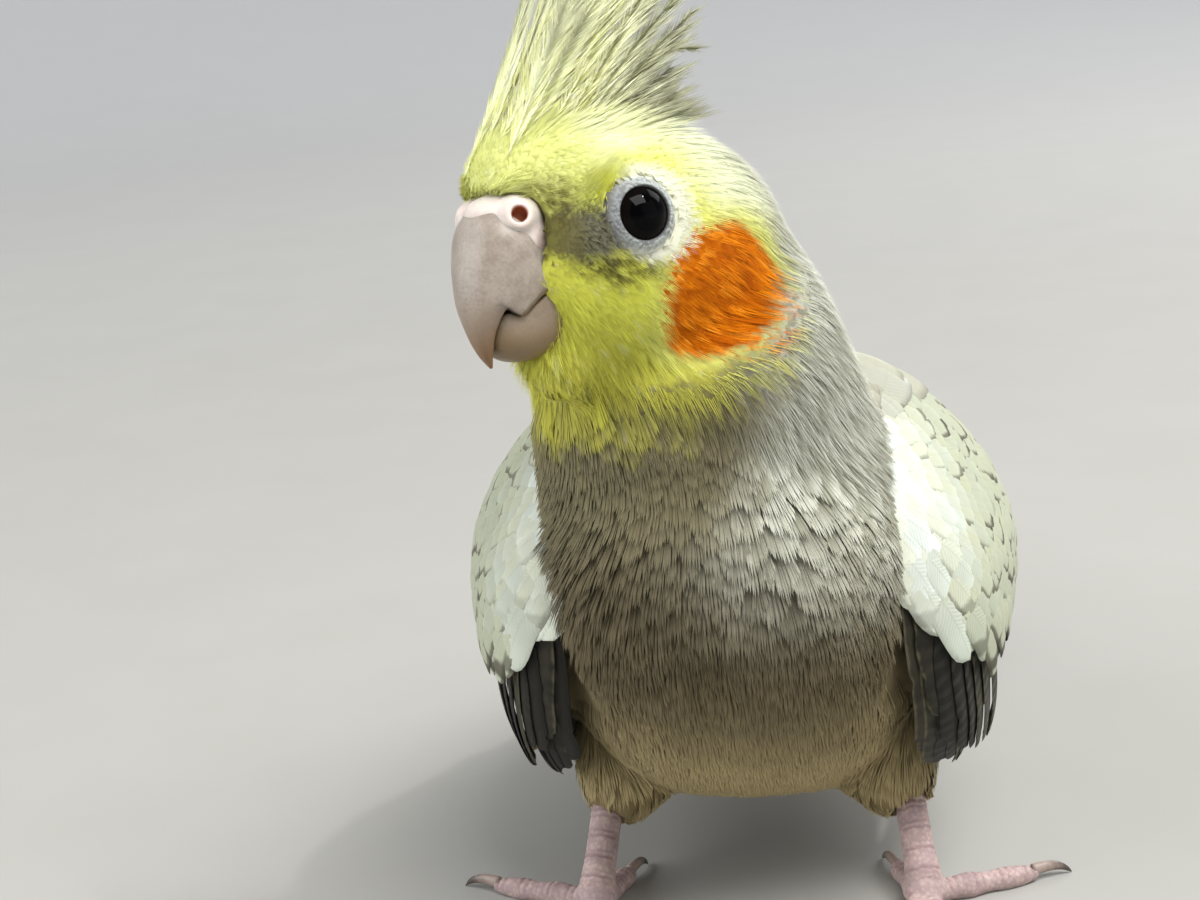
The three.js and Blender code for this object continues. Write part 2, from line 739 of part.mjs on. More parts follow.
function rectrix(k, side) {
  const length = (TAIL.tipY - TAIL.rootY) * (1 - TAIL.step * k - (k > 0 ? TAIL.centralExtra : 0));
  const roof = TAIL.roof * DEGREE;
  const across = vec(Math.cos(roof), 0, -side * Math.sin(roof));
  const normal = vec(side * Math.sin(roof), 0, Math.cos(roof));
  const spine = (u) => {
    const y = TAIL.rootY + length * u;
    const out = side * (1.6 + 1.1 * k + (0.6 + 0.75 * k) * u);
    const drop = TAIL.layer * (k + (side > 0 ? 0.3 : 0)) * (1 - 0.25 * u) + 0.1 * k * u;
    return { at: vec(out, y, tailHeight(y) - drop), across, normal };
  };
  const shape = k === 0 ? [[0, 0.5], [0.35, 0.9], [0.7, 0.8], [0.9, 0.4], [1, 0.12]] : flightShape;
  return vane(spine, shape.map(([u, w]) => [u, w * TAIL.width]), TAIL.thickness, 4);
}
const rectrices = [1, -1].flatMap((side) => row(TAIL.pairs, (k) => rectrix(k, side)));
add(bird, "tail", join(rumpShape(), rectrices).subtract(join(torsoGrown, floorBlock)), finish.tail);

// Legs and wings. Each foot has two toes forward and two back.
function thighShape(side, grow) {
  const path = new THREE.LineCurve3(
    vec(side * LEG.hip[0], LEG.hip[1], LEG.hip[2]),
    vec(side * (LEG.heel[0] + 0.3), LEG.heel[1] - 2, LEG.heel[2] - 4.5),
  );
  const { thighTop, thighBottom } = LEG;
  const stations = [
    [0, thighTop],
    [0.55, thighTop * 0.86],
    [0.85, thighBottom * 1.15],
    [1, thighBottom * 0.7],
  ];
  const size = (u) => {
    const r = along(stations, u) + grow;
    return [r, r];
  };
  return solid(loft(ringsOn(path, vec(1, 0, 0), size, 5, 14)));
}

function shankShape(side, grow) {
  const path = new THREE.LineCurve3(
    vec(side * LEG.heel[0], LEG.heel[1], LEG.heel[2]),
    vec(side * LEG.apart, LEG.footY, LEG.ankle - 1),
  );
  const size = (u) => {
    const r = LEG.shankRadius * along([[0, 1.2], [0.3, 1], [0.75, 1], [1, 1.15]], u);
    return [r + grow, r + grow];
  };
  return solid(loft(ringsOn(path, vec(1, 0, 0), size, 4, 10)));
}

// Toes by number: length, and the heading measured outward from straight ahead.
const toes = [
  { name: "1", length: 8.5, heading: -158 },
  { name: "2", length: 12.5, heading: -16 },
  { name: "3", length: 17, heading: 14 },
  { name: "4", length: 14.5, heading: 112 },
];

function toeLine(side, toe) {
  const angle = toe.heading * DEGREE;
  const ahead = vec(side * Math.sin(angle), -Math.cos(angle), 0);
  const root = vec(side * LEG.apart, LEG.footY, TOE.height + 0.35).addScaledVector(ahead, 0.5);
  const end = root.clone().addScaledVector(ahead, toe.length).setZ(TOE.height - 0.05);
  const middle = root.clone().lerp(end, 0.5).setZ(TOE.height + 0.1);
  return { path: new THREE.QuadraticBezierCurve3(root, middle, end), ahead, end };
}

function toeShape(side, toe, grow) {
  const { path, ahead } = toeLine(side, toe);
  const knuckles = [[0, 1.1], [0.22, 0.9], [0.36, 1.08], [0.55, 0.88], [0.7, 1.02], [0.88, 0.86], [1, 0.55]];
  const size = (u) => {
    const r = mix(TOE.radius, TOE.endRadius, u) * along(knuckles, u);
    return [r + grow, r + grow];
  };
  const across = vec(0, 0, 1).cross(ahead);
  return solid(loft(ringsOn(path, across, size, 6, 6)));
}

function footShape(side, grow) {
  const pad = ball(vec(side * LEG.apart, LEG.footY, 2), 2.7 + grow, 2.9 + grow, 2.5 + grow, 9);
  return join(pad, ...toes.map((toe) => toeShape(side, toe, grow))).subtract(floorBlock);
}

function clawShape(side, toe) {
  const { ahead, end } = toeLine(side, toe);
  const length = TOE.claw * mix(0.85, 1.1, toe.length / 17);
  const path = new THREE.QuadraticBezierCurve3(
    end.clone().addScaledVector(ahead, -0.6).add(vec(0, 0, 0.35)),
    end.clone().addScaledVector(ahead, length * 0.55).add(vec(0, 0, 1)),
    end.clone().addScaledVector(ahead, length * 0.86).setZ(0.1),
  );
  const size = (u) => {
    const r = TOE.clawRadius * along([[0, 1], [0.4, 0.8], [0.8, 0.42], [1, 0.18]], u);
    return [r * 0.9, r];
  };
  return solid(loft(ringsOn(path, vec(0, 0, 1).cross(ahead), size, 4, 5))).subtract(floorBlock);
}

for (const [name, side] of [["left", 1], ["right", -1]]) {
  const footGrown = footShape(side, GAP);
  const thigh = thighShape(side, 0).subtract(join(torsoGrown, shankShape(side, GAP)));
  const wing = wingShape(side).subtract(join(torsoGrown, neckShape(GAP), thighShape(side, GAP)));
  add(bird, `wing_${name}`, wing, finish.covert);
  add(bird, `thigh_${name}`, thigh, finish.plumage);
  add(bird, `shank_${name}`, shankShape(side, 0).subtract(join(torsoGrown, footGrown)), finish.foot);
  add(bird, `foot_${name}`, footShape(side, 0), finish.foot);
  for (const toe of toes) {
    add(bird, `claw_${name}_${toe.name}`, clawShape(side, toe).subtract(footGrown), finish.claw);
  }
}

// The origin lies on the floor, midway along the bird.
bird.updateMatrixWorld(true);
const extent = new THREE.Box3().setFromObject(bird, true);
bird.position.set(-(extent.min.x + extent.max.x) / 2, -(extent.min.y + extent.max.y) / 2, -extent.min.z);
bird.updateMatrixWorld(true);
export default bird;
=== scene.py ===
# %% [markdown]
# # A young pearl cockatiel, feather by feather
#
# A solid model of the bird is loaded first. It fixes every size, and this lesson dresses it.
# One skin closes over the flesh, and then come the feathers: hair-fine tufts on the face, fans of
# barbs on the breast and back, and stiff vanes on the wings and tail. The eyes, bill and feet come last.
# Everything is in metres, and +Z is up. The body faces -Y and the head is turned to the bird's right.

# %% Load the frame
import bpy
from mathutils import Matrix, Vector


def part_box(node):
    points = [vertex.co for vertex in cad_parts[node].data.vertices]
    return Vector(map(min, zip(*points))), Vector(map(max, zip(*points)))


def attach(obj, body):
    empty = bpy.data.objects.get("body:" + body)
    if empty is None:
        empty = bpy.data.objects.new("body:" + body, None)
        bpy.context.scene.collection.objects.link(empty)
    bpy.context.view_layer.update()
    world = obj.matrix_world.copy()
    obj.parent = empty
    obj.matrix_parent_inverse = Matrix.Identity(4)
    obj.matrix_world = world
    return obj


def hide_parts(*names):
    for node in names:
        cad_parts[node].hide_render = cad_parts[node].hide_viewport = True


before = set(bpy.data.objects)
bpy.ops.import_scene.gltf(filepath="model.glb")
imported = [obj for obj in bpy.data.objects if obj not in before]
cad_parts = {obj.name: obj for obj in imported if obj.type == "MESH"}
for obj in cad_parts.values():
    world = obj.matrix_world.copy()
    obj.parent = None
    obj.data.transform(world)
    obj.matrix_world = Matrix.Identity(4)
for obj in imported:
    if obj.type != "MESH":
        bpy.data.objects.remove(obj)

bpy.context.view_layer.update()

# %% [markdown]
# ## Measures
#
# A few driving sizes of the bird are named here, in millimetres in the bird's own frame, whose zero lies
# below the middle of the neck. The frame tells how far that zero has been moved along the floor.
# The head has a frame of its own: out to the left, forward along the bill, and up.

# %% Driving sizes
import math

import numpy as np
from mathutils import Matrix, Vector
from mathutils.bvhtree import BVHTree

MM = 0.001
TAIL_TIP = 202.0
EYES = (-12.5, -23.0, 89.3)
HEAD_TURN, HEAD_LIFT, HEAD_LEAN = 43.0, 11.0, -7.0
EYE_OUT, EYE_RADIUS, EYE_FORWARD = 8.9, 4.0, 14.0
HEEL, FOOT = (18.5, 7.5, 12.5), (20.0, -1.0, 3.0)
SIDES = ((1, "left"), (-1, "right"))

home = Vector((0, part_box("tail")[1].y - TAIL_TIP * MM, 0))
home_array = np.array(home)


def turned(angle, axis):
    return Matrix.Rotation(math.radians(angle), 3, axis)


head_turn = np.array(turned(-HEAD_TURN, "Z") @ turned(-HEAD_LIFT, "X") @ turned(HEAD_LEAN, "Y"))
head_left, head_forward, head_up = head_turn[:, 0], -head_turn[:, 1], head_turn[:, 2]


def body_place(*mm):
    """A place in the bird's own frame, in metres of the scene. Also takes an array of rows."""
    return np.asarray(mm if len(mm) > 1 else mm[0], float) * MM + home_array


def head_place(out, forward, up):
    """A place measured from between the eyes."""
    out, forward, up = np.broadcast_arrays(out, forward, up)
    local = out[..., None] * head_left + forward[..., None] * head_forward + up[..., None] * head_up
    return body_place(np.array(EYES) + local)


def head_heading(out, forward, up):
    return unit(out * head_left + forward * head_forward + up * head_up)


def unit(v):
    v = np.asarray(v, float)
    return v / np.maximum(np.linalg.norm(v, axis=-1, keepdims=True), 1e-12)


print("the bird's zero lies at", tuple(home), "and the bill points to", head_forward.round(2))

# %% [markdown]
# Sizes change along a feather, a toe or a wing. A short list of stations, read smoothly, says how:
# this is the same curve that shaped the solid model, so that the dressed bird fits it.

# %% Curves through stations


def along(stations, place):
    """The value at each place of a smooth curve through (place, value) stations."""
    xs, ys = np.array(stations, float).T
    place = np.clip(np.asarray(place, float), xs[0], xs[-1])
    slopes = (np.roll(ys, -1) - np.roll(ys, 1)) / (np.roll(xs, -1) - np.roll(xs, 1))
    slopes[0] = (ys[1] - ys[0]) / (xs[1] - xs[0])
    slopes[-1] = (ys[-1] - ys[-2]) / (xs[-1] - xs[-2])
    i = np.clip(np.searchsorted(xs, place, side="right") - 1, 0, len(xs) - 2)
    span = xs[i + 1] - xs[i]
    u = (place - xs[i]) / span
    start = (2 * u**3 - 3 * u**2 + 1) * ys[i] + (u**3 - 2 * u**2 + u) * span * slopes[i]
    end = (3 * u**2 - 2 * u**3) * ys[i + 1] + (u**3 - u**2) * span * slopes[i + 1]
    return start + end


def mix(a, b, share):
    return a + (b - a) * share


def smooth(x, low, high):
    u = np.clip((np.asarray(x, float) - low) / (high - low), 0, 1)
    return u * u * (3 - 2 * u)


# %% [markdown]
# ## Meshes from arrays
#
# A coat has hundreds of thousands of points, too many to add one by one. They are worked out with
# arrays and handed to the mesh at once. Each point can carry marks, such as how far along its feather
# it lies, and the finishes read these marks.

# %% Make an object from arrays
made_pieces = []


def make(name, points, faces, finish=None, slot=None, uv=None, **marks):
    """An object from points in metres and lists of equal-sided faces."""
    mesh = bpy.data.meshes.new(name)
    corners = np.concatenate([np.asarray(group).ravel() for group in faces]).astype(np.int32)
    sides = np.concatenate([np.full(len(group), np.shape(group)[1]) for group in faces])
    starts = np.concatenate([[0], np.cumsum(sides)[:-1]]).astype(np.int32)
    mesh.vertices.add(len(points))
    mesh.vertices.foreach_set("co", np.asarray(points, np.float32).ravel())
    mesh.loops.add(len(corners))
    mesh.loops.foreach_set("vertex_index", corners)
    mesh.polygons.add(len(starts))
    mesh.polygons.foreach_set("loop_start", starts)
    if uv is not None:
        layer = mesh.uv_layers.new(name="OFBake")
        layer.data.foreach_set("uv", np.asarray(uv, np.float32)[corners].ravel())
    mesh.update(calc_edges=True)
    for key, values in marks.items():
        values = np.asarray(values, np.float32)
        kind, field = ("FLOAT", "value") if values.ndim == 1 else ("FLOAT_VECTOR", "vector")
        mesh.attributes.new(key, kind, "POINT").data.foreach_set(field, values.ravel())
    mesh.shade_smooth()
    piece = bpy.data.objects.new(name, mesh)
    bpy.context.scene.collection.objects.link(piece)
    if finish is not None:
        mesh.materials.append(finish)
    if slot is not None:
        made_pieces.append(piece)
    return piece


def triangles(piece):
    return sum(len(face.vertices) - 2 for face in piece.data.polygons)


def baked(piece, *modifiers):
    """The piece's mesh after the given modifiers, each a type with its settings."""
    for kind, settings in modifiers:
        modifier = piece.modifiers.new(kind.lower(), kind)
        for key, value in settings.items():
            setattr(modifier, key, value)
    seen = piece.evaluated_get(bpy.context.evaluated_depsgraph_get())
    mesh = bpy.data.meshes.new_from_object(seen)
    piece.modifiers.clear()
    piece.data = mesh
    return piece


def points_of(mesh):
    points = np.empty(len(mesh.vertices) * 3, np.float32)
    mesh.vertices.foreach_get("co", points)
    return points.reshape(-1, 3).astype(float)


def normals_of(mesh):
    normals = np.empty(len(mesh.vertices) * 3, np.float32)
    mesh.vertex_normals.foreach_get("vector", normals)
    return normals.reshape(-1, 3).astype(float)


# %% [markdown]
# Rings drawn round a path make a limb, a bill or a rump, and a pair of point grids makes a plate such as
# a feather. Both are closed bodies with a real thickness.

# %% Lofts and plates


def outward(points, faces):
    """The faces, turned over if they look inwards."""
    volume = 0
    for group in faces:
        for k in range(1, group.shape[1] - 1):
            a, b, c = (points[group[:, i]] - points[0] for i in (0, k, k + 1))
            volume += (a * np.cross(b, c)).sum()
    return [group[:, ::-1] for group in faces] if volume < 0 else faces


def loft(rings):
    """Points and faces of a closed skin through rings, given as an array of ring, side, xyz."""
    count, sides = rings.shape[:2]
    points = np.concatenate([rings.reshape(-1, 3), rings[:1].mean(1), rings[-1:].mean(1)])
    here = np.arange(count * sides).reshape(count, sides)
    there = np.roll(here, -1, axis=1)
    quads = np.stack([here[:-1], there[:-1], there[1:], here[1:]], -1).reshape(-1, 4)
    start = np.stack([there[0], here[0], np.full(sides, count * sides)], -1)
    end = np.stack([here[-1], there[-1], np.full(sides, count * sides + 1)], -1)
    return points, outward(points, [quads, np.concatenate([start, end])])


def rings_on(path, across, sizes, sides=24):
    """Elliptic rings round a path. sizes holds half width, depth over and depth under for each point."""
    path = np.asarray(path, float)
    ahead = unit(np.gradient(path, axis=0))
    deep = unit(np.cross(ahead, across))
    wide = unit(np.cross(deep, ahead))
    angle = np.linspace(0, 2 * np.pi, sides, endpoint=False)
    half, over, under = np.moveaxis(np.asarray(sizes, float), -1, 0)
    rise = np.sin(angle)
    depth = np.where(rise > 0, over[:, None], under[:, None]) * rise
    spread = half[:, None] * np.cos(angle)
    return path[:, None] + wide[:, None] * spread[..., None] + deep[:, None] * depth[..., None]


def plate(top, bottom):
    """Points and faces of a closed plate between two grids of rows and columns of points."""
    rows, columns = top.shape[:2]
    at = np.arange(rows * columns).reshape(rows, columns)
    cells = [at[:-1, :-1], at[:-1, 1:], at[1:, 1:], at[1:, :-1]]
    upper = np.stack(cells, -1).reshape(-1, 4)
    lower = upper[:, ::-1] + rows * columns
    rim = np.concatenate([at[0, :-1], at[:-1, -1], at[-1, :0:-1], at[:0:-1, 0]])
    after = np.roll(rim, -1)
    edge = np.stack([after, rim, rim + rows * columns, after + rows * columns], -1)
    points = np.concatenate([top.reshape(-1, 3), bottom.reshape(-1, 3)])
    return points, outward(points, [np.concatenate([upper, lower, edge])])


def smooth_path(places, count):
    """A smooth path of count points through a few places, with its shares of the length."""
    places = np.asarray(places, float)
    stations = np.linspace(0, 1, len(places))
    u = np.linspace(0, 1, count)
    columns = [along(np.stack([stations, places[:, k]], -1), u) for k in range(3)]
    return np.stack(columns, -1), u


# %% [markdown]
# ## The wing's surface
#
# A folded wing curves round a line from the wrist to the wing's tip. A place on it is given by its share
# of that line, by its turn from the lower edge to the back, and by how far it rises off the inner
# surface. All wing feathers and the fleshy pad of the wing are laid out in these three numbers.

# %% Places on the wing
WRIST, ELBOW, WING_TIP = (0.0, -12.0, 54.0), (0.0, 24.0, 26.5), (0.0, 122.0, 8.5)
WING_OUT = [(0, 15.5), (0.08, 20.8), (0.2, 24.8), (0.35, 25.4), (0.5, 21.6), (0.65, 15.4), (1, 3.6)]
WING_BACK = [(0, 17), (0.08, 20), (0.2, 21), (0.35, 18), (0.5, 14), (0.65, 11), (1, 5)]
WING_LOW = [(0, -8), (0.08, -34), (0.2, -56), (0.33, -68), (0.46, -66), (0.6, -44), (0.8, -18), (1, 4)]
WING_HIGH = [(0, 40), (0.12, 66), (0.3, 84), (0.5, 88), (1, 84)]


def wing_place(side, share, turn, rise):
    """Places on or over a wing. side is 1 for the left wing and -1 for the right one."""
    share, turn, rise = np.broadcast_arrays(share, turn, rise)
    u = np.asarray(share, float)[..., None]
    a, b, c = (np.array(p) for p in (WRIST, ELBOW, WING_TIP))
    line = a * (1 - u) ** 2 + 2 * b * u * (1 - u) + c * u**2
    ahead = unit((b - a) * (1 - u) + (c - b) * u)
    back = unit(np.cross((1.0, 0.0, 0.0), ahead))
    back = back * np.where(back[..., 2:] < 0, -1, 1)
    angle = np.radians(mix(along(WING_LOW, share), along(WING_HIGH, share), turn))
    out = along(WING_OUT, share)
    over = np.where(angle > 0, along(WING_BACK, share), out)
    curl = np.where(angle > 0, angle, angle * 0.5)
    sideways = np.array([side, 0.0, 0.0])
    normal = unit(
        sideways * (np.cos(curl) * over)[..., None] + back * (np.sin(curl) * out)[..., None]
    )
    place = line + sideways * (out * np.cos(curl))[..., None] + back * (over * np.sin(angle))[..., None]
    return body_place(place + normal * rise[..., None])


# %% [markdown]
# ## One skin
#
# In the solid model the head, neck, trunk and thighs are separate bodies with a thin gap between them.
# A real bird has one skin. So their shapes are gathered, swollen a little until the gaps close, turned
# into one closed surface by a voxel remesh, and smoothed. A subdivision cage would need these parts
# stitched by hand. The wing's pad, the rump, the soft throat and the narrow ends of the thighs are added in
# the same way, so the coat runs over the joins.

# %% Gather the flesh
COVERT_RISE, PAD_THICKNESS = 4.3, 3.1
PAD_LENGTH = [(0, 0.23), (0.3, 0.25), (0.5, 0.42), (1, 0.42)]


def pad_rise(share, turn):
    """How far the small coverts lie off the wing's inner surface."""
    u = share / along(PAD_LENGTH, turn)
    ends = along([(0, 0.2), (0.17, 0.85), (0.4, 1), (0.8, 0.75), (1, 0.3)], u)
    edges = along([(0, 0.35), (0.2, 1), (0.6, 0.9), (1, 0.2)], turn)
    return mix(1.5, COVERT_RISE, smooth(u, 0, 0.5)) + PAD_THICKNESS * ends * edges


def flesh_of(node, swell):
    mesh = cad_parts[node].data
    points = points_of(mesh) + normals_of(mesh) * swell * MM
    mesh.calc_loop_triangles()
    faces = np.empty(len(mesh.loop_triangles) * 3, np.int32)
    mesh.loop_triangles.foreach_get("vertices", faces)
    return points, [faces.reshape(-1, 3)]


def pad_flesh(side):
    """The pad of muscle and small coverts on the folded wing."""
    u, turn = np.meshgrid(np.linspace(0, 1, 15), np.linspace(0, 1, 13), indexing="ij")
    share = along(PAD_LENGTH, turn) * u
    cover = pad_rise(share, turn) - 0.9
    base = mix(-3.5, COVERT_RISE - 1.5, smooth(u, 0.74, 1))
    return plate(wing_place(side, share, turn, cover), wing_place(side, share, turn, base))


RUMP_START, RUMP_END = (0.0, 26.0, 24.0), (0.0, 92.0, 9.8)
RUMP_HALF_WIDTH, RUMP_HALF_DEPTH = 15.0, 12.0


def rump_flesh():
    u = np.linspace(0, 1, 16)
    path = np.array(RUMP_START) * (1 - u[:, None]) + np.array(RUMP_END) * u[:, None]
    share = np.sqrt(1 - 0.9 * u**2)
    depth = RUMP_HALF_DEPTH * share * (1 - 0.45 * u)
    sizes = np.stack([RUMP_HALF_WIDTH * share, depth, depth], -1) - 0.4
    return loft(body_place(rings_on(path, (1, 0, 0), sizes)))


# %% The throat and the ends of the thighs
THROAT_PLACE, THROAT_RADII = (0, 2.6, -12.5), (5.2, 4.9, 6.5)
CUFF_START, CUFF_RADII, CUFF_DOWN_SHANK = (18.2, 10.5, 18.5), (4.9, 2.1), 0.28
BODY_SWELL, THIGH_SWELL = 0.35, 0.3


def ball(centre, radii, detail=28):
    """A rounded body in the head's frame."""
    polar = np.linspace(0.05, np.pi - 0.05, detail)[:, None]
    angle = np.linspace(0, 2 * np.pi, detail, endpoint=False)[None, :]
    unit_ball = (np.cos(polar) + 0 * angle, np.sin(polar) * np.cos(angle), np.sin(polar) * np.sin(angle))
    return loft(head_place(*[c + r * part for c, r, part in zip(centre, radii, unit_ball)]))


def cuff_flesh(side):
    """The end of the thigh, which narrows over the top of the shank."""
    ankle = mix(np.array(HEEL), np.array(FOOT), CUFF_DOWN_SHANK)
    path, _ = smooth_path([CUFF_START, HEEL, ankle], 9)
    r = np.linspace(*CUFF_RADII, 9)
    return loft(body_place(rings_on(path * (side, 1, 1), (1, 0, 0), np.stack([r, r, r], -1))))


def joined(parts):
    """Points and faces of several bodies as one list."""
    points, groups, count = [], {}, 0
    for some_points, some_faces in parts:
        for faces in some_faces:
            groups.setdefault(faces.shape[1], []).append(faces + count)
        points.append(some_points)
        count += len(some_points)
    return np.concatenate(points), [np.concatenate(group) for group in groups.values()]


flesh = [flesh_of(node, BODY_SWELL) for node in ("head", "neck", "torso")]
flesh += [flesh_of(node, THIGH_SWELL) for node in ("thigh_left", "thigh_right", "lids_left", "lids_right")]
flesh += [pad_flesh(1), pad_flesh(-1), rump_flesh(), cuff_flesh(1), cuff_flesh(-1)]
flesh.append(ball(THROAT_PLACE, THROAT_RADII))

# %% [markdown]
# The voxels are 0.8 mm across, fine enough for the brow and cheeks. The surface is then smoothed by
# moving each point towards its neighbours, and drawn in by the depth of the coat, which is thin on the
# face and thick on the belly.

# %% Close and smooth the skin
VOXEL, SMOOTH_ROUNDS = 0.8, 14
FACE_COAT, BELLY_COAT, COAT_GAP = 0.55, 1.35, 0.2


def eased(points, edges, rounds, share=0.5):
    """Points moved towards the middle of their neighbours, round after round."""
    count = np.bincount(edges.ravel(), minlength=len(points))[:, None]
    for _ in range(rounds):
        total = np.stack(
            [
                np.bincount(edges[:, 0], points[edges[:, 1], k], len(points))
                + np.bincount(edges[:, 1], points[edges[:, 0], k], len(points))
                for k in range(3)
            ],
            -1,
        )
        points = mix(points, total / np.maximum(count, 1), share)
    return points


def edges_of(mesh):
    edges = np.empty(len(mesh.edges) * 2, np.int32)
    mesh.edges.foreach_get("vertices", edges)
    return edges.reshape(-1, 2)


def put_points(mesh, points):
    mesh.vertices.foreach_set("co", points.astype(np.float32).ravel())
    mesh.update()


def head_measures(points):
    """Each point's place in the head's frame, in millimetres: out, forward and up."""
    offset = (points - body_place(EYES)) / MM
    return offset @ head_left, offset @ head_forward, offset @ head_up


def coat_depth(points):
    """How thick the coat lies over the skin, in millimetres."""
    out, forward, up = head_measures(points)
    from_bill = np.sqrt(out**2 + (forward - 9) ** 2 + (up + 3) ** 2)
    return mix(FACE_COAT, BELLY_COAT, smooth(from_bill, 9, 45))


skin = make("skin", *joined(flesh))
baked(skin, ("REMESH", {"mode": "VOXEL", "voxel_size": VOXEL * MM}))
skin.data.name = "skin"
skin_points = eased(points_of(skin.data), edges_of(skin.data), SMOOTH_ROUNDS)
put_points(skin.data, skin_points)
skin_points = skin_points - normals_of(skin.data) * (coat_depth(skin_points)[:, None] + COAT_GAP) * MM
put_points(skin.data, skin_points)
skin.data.shade_smooth()
print("the skin has", triangles(skin), "triangles")

# %% [markdown]
# Feathers need to ask where the skin is. A search tree answers that, and gives the way out of it. The
# skin is also laid out flat, so that each tuft of the coat can be given a small patch of that layout at
# its own root, where its colours are kept when the finishes are baked.

# %% Ask the skin
LAYOUT_ANGLE = 66
TUFT_PATCH = 0.003

bpy.context.view_layer.objects.active = skin
skin.select_set(True)
skin.data.uv_layers.new(name="OFBake")
bpy.ops.object.mode_set(mode="EDIT")
bpy.ops.mesh.select_all(action="SELECT")
bpy.ops.uv.smart_project(angle_limit=math.radians(LAYOUT_ANGLE), island_margin=0.002)
bpy.ops.object.mode_set(mode="OBJECT")
skin.select_set(False)

skin.data.calc_loop_triangles()
skin_faces = np.empty(len(skin.data.loop_triangles) * 3, np.int32)
skin.data.loop_triangles.foreach_get("vertices", skin_faces)
skin_faces = skin_faces.reshape(-1, 3)
skin_loops = np.empty(len(skin.data.loop_triangles) * 3, np.int32)
skin.data.loop_triangles.foreach_get("loops", skin_loops)
skin_layout = np.empty(len(skin.data.loops) * 2, np.float32)
skin.data.uv_layers["OFBake"].data.foreach_get("uv", skin_layout)
face_layout = skin_layout.reshape(-1, 2)[skin_loops.reshape(-1, 3)].mean(1)
skin_points = points_of(skin.data)
skin_normals = normals_of(skin.data)
skin_tree = BVHTree.FromPolygons(skin_points.tolist(), skin_faces.tolist())


def on_skin(points):
    """The nearest places on the skin, the ways out of it and the numbers of the faces."""
    found = [skin_tree.find_nearest(Vector(p)) for p in points]
    places = np.array([hit[0] for hit in found])
    faces = np.array([hit[2] for hit in found])
    corners = skin_faces[faces]
    closeness = 1 / (np.linalg.norm(skin_points[corners] - places[:, None], axis=-1) + 1e-6)
    normals = unit((skin_normals[corners] * closeness[..., None]).sum(1))
    return places, normals, faces


print("the layout spans", face_layout.min(0), "to", face_layout.max(0))

# %% [markdown]
# ## Finishes as plain sums
#
# A finish is a small network of nodes. Drawn as text it's hard to read, so one class wraps a node's
# output and lets it be added, multiplied and compared like a number. Another holds the network of one
# finish, with a single method that makes any node. Only what truly changes over the surface is linked.
# All other values are set on the shader itself.

# %% A wire and a finish


class Wire:
    """One output in a finish's network. Sums of wires add their own nodes."""

    def __init__(self, finish, socket):
        self.finish = finish
        self.socket = socket

    def maths(self, operation, *values):
        return self.finish.node("Math", {"operation": operation}, values)

    def __add__(self, other):
        return self.maths("ADD", self, other)

    def __sub__(self, other):
        return self.maths("SUBTRACT", self, other)

    def __rsub__(self, other):
        return self.maths("SUBTRACT", other, self)

    def __mul__(self, other):
        return self.maths("MULTIPLY", self, other)

    def __truediv__(self, other):
        return self.maths("DIVIDE", self, other)

    def __pow__(self, other):
        return self.maths("POWER", self, other)

    def __abs__(self):
        return self.maths("ABSOLUTE", self)

    __radd__ = __add__
    __rmul__ = __mul__


class Finish:
    """The network of one finish, with the shader's constant values."""

    def __init__(self, name, **constants):
        self.material = bpy.data.materials.new(name)
        self.material.use_nodes = True
        self.nodes = self.material.node_tree.nodes
        self.links = self.material.node_tree.links
        self.shader = self.nodes["Principled BSDF"]
        for key, value in constants.items():
            self.shader.inputs[key.replace("_", " ")].default_value = value

    def node(self, kind, settings, values, output=0):
        """Adds a node: its type, its settings, then the values or wires of its sockets."""
        made = self.nodes.new("ShaderNode" + kind)
        for key, value in settings.items():
            setattr(made, key, value)
        pairs = values.items() if isinstance(values, dict) else enumerate(values)
        for key, value in pairs:
            if isinstance(value, Wire):
                self.links.new(value.socket, made.inputs[key])
            else:
                made.inputs[key].default_value = value
        return Wire(self, made.outputs[output])

    def blend(self, share, first, second, how="MIX"):
        """A colour between two others."""
        settings = {"data_type": "RGBA", "blend_type": how}
        return self.node("Mix", settings, {0: share, 6: first, 7: second}, output=2)

    def place(self):
        """Each point's place on its object."""
        return self.node("TexCoord", {}, {}, output="Object")

    def wave(self, angle):
        return self.node("Math", {"operation": "SINE"}, [angle])

    def vector(self, operation, *values, output=0):
        return self.node("VectorMath", {"operation": operation}, values, output)

    def mark(self, name, output="Fac"):
        """A value that the mesh carries at each point."""
        return self.node("Attribute", {"attribute_name": name}, {}, output)

    def fade(self, value, low, high):
        """0 below low, 1 above high, and a soft step between. low may be the larger."""
        settings = {"interpolation_type": "SMOOTHSTEP"}
        if low > high:
            return 1 - self.fade(value, high, low)
        return self.node("MapRange", settings, {"Value": value, "From Min": low, "From Max": high})

    def noise(self, place, size, detail=2.0):
        """Soft random spots about size millimetres across."""
        values = {"Vector": place, "Scale": 1 / (size * MM), "Detail": detail}
        return self.node("TexNoise", {}, values, "Fac")

    def bump(self, height, strength, distance):
        values = {"Height": height, "Strength": strength, "Distance": distance * MM}
        return self.node("Bump", {}, values)

    def into(self, **sockets):
        for key, wire in sockets.items():
            self.links.new(wire.socket, self.shader.inputs[key.replace("_", " ")])
        return self.material


def colour(name):
    """A colour in the scene's linear light from its usual six-digit name."""
    parts = [int(name[k : k + 2], 16) / 255 for k in (0, 2, 4)]
    linear = [c / 12.92 if c <= 0.04045 else ((c + 0.055) / 1.055) ** 2.4 for c in parts]
    return (*linear, 1.0)


# %% [markdown]
# ## Markings of the plumage
#
# The face, crown and throat are yellow, the cheek is orange, a dark smudge runs from the nostril under
# the eye, and the rest is grey-brown, paler on the nape and sides and buff on the belly. All of it is
# worked out from a feather's place on the bird, measured from between the eyes, so the skin and the
# coat that grows from it have the same colours. A painted picture would have to be fitted to the shape.

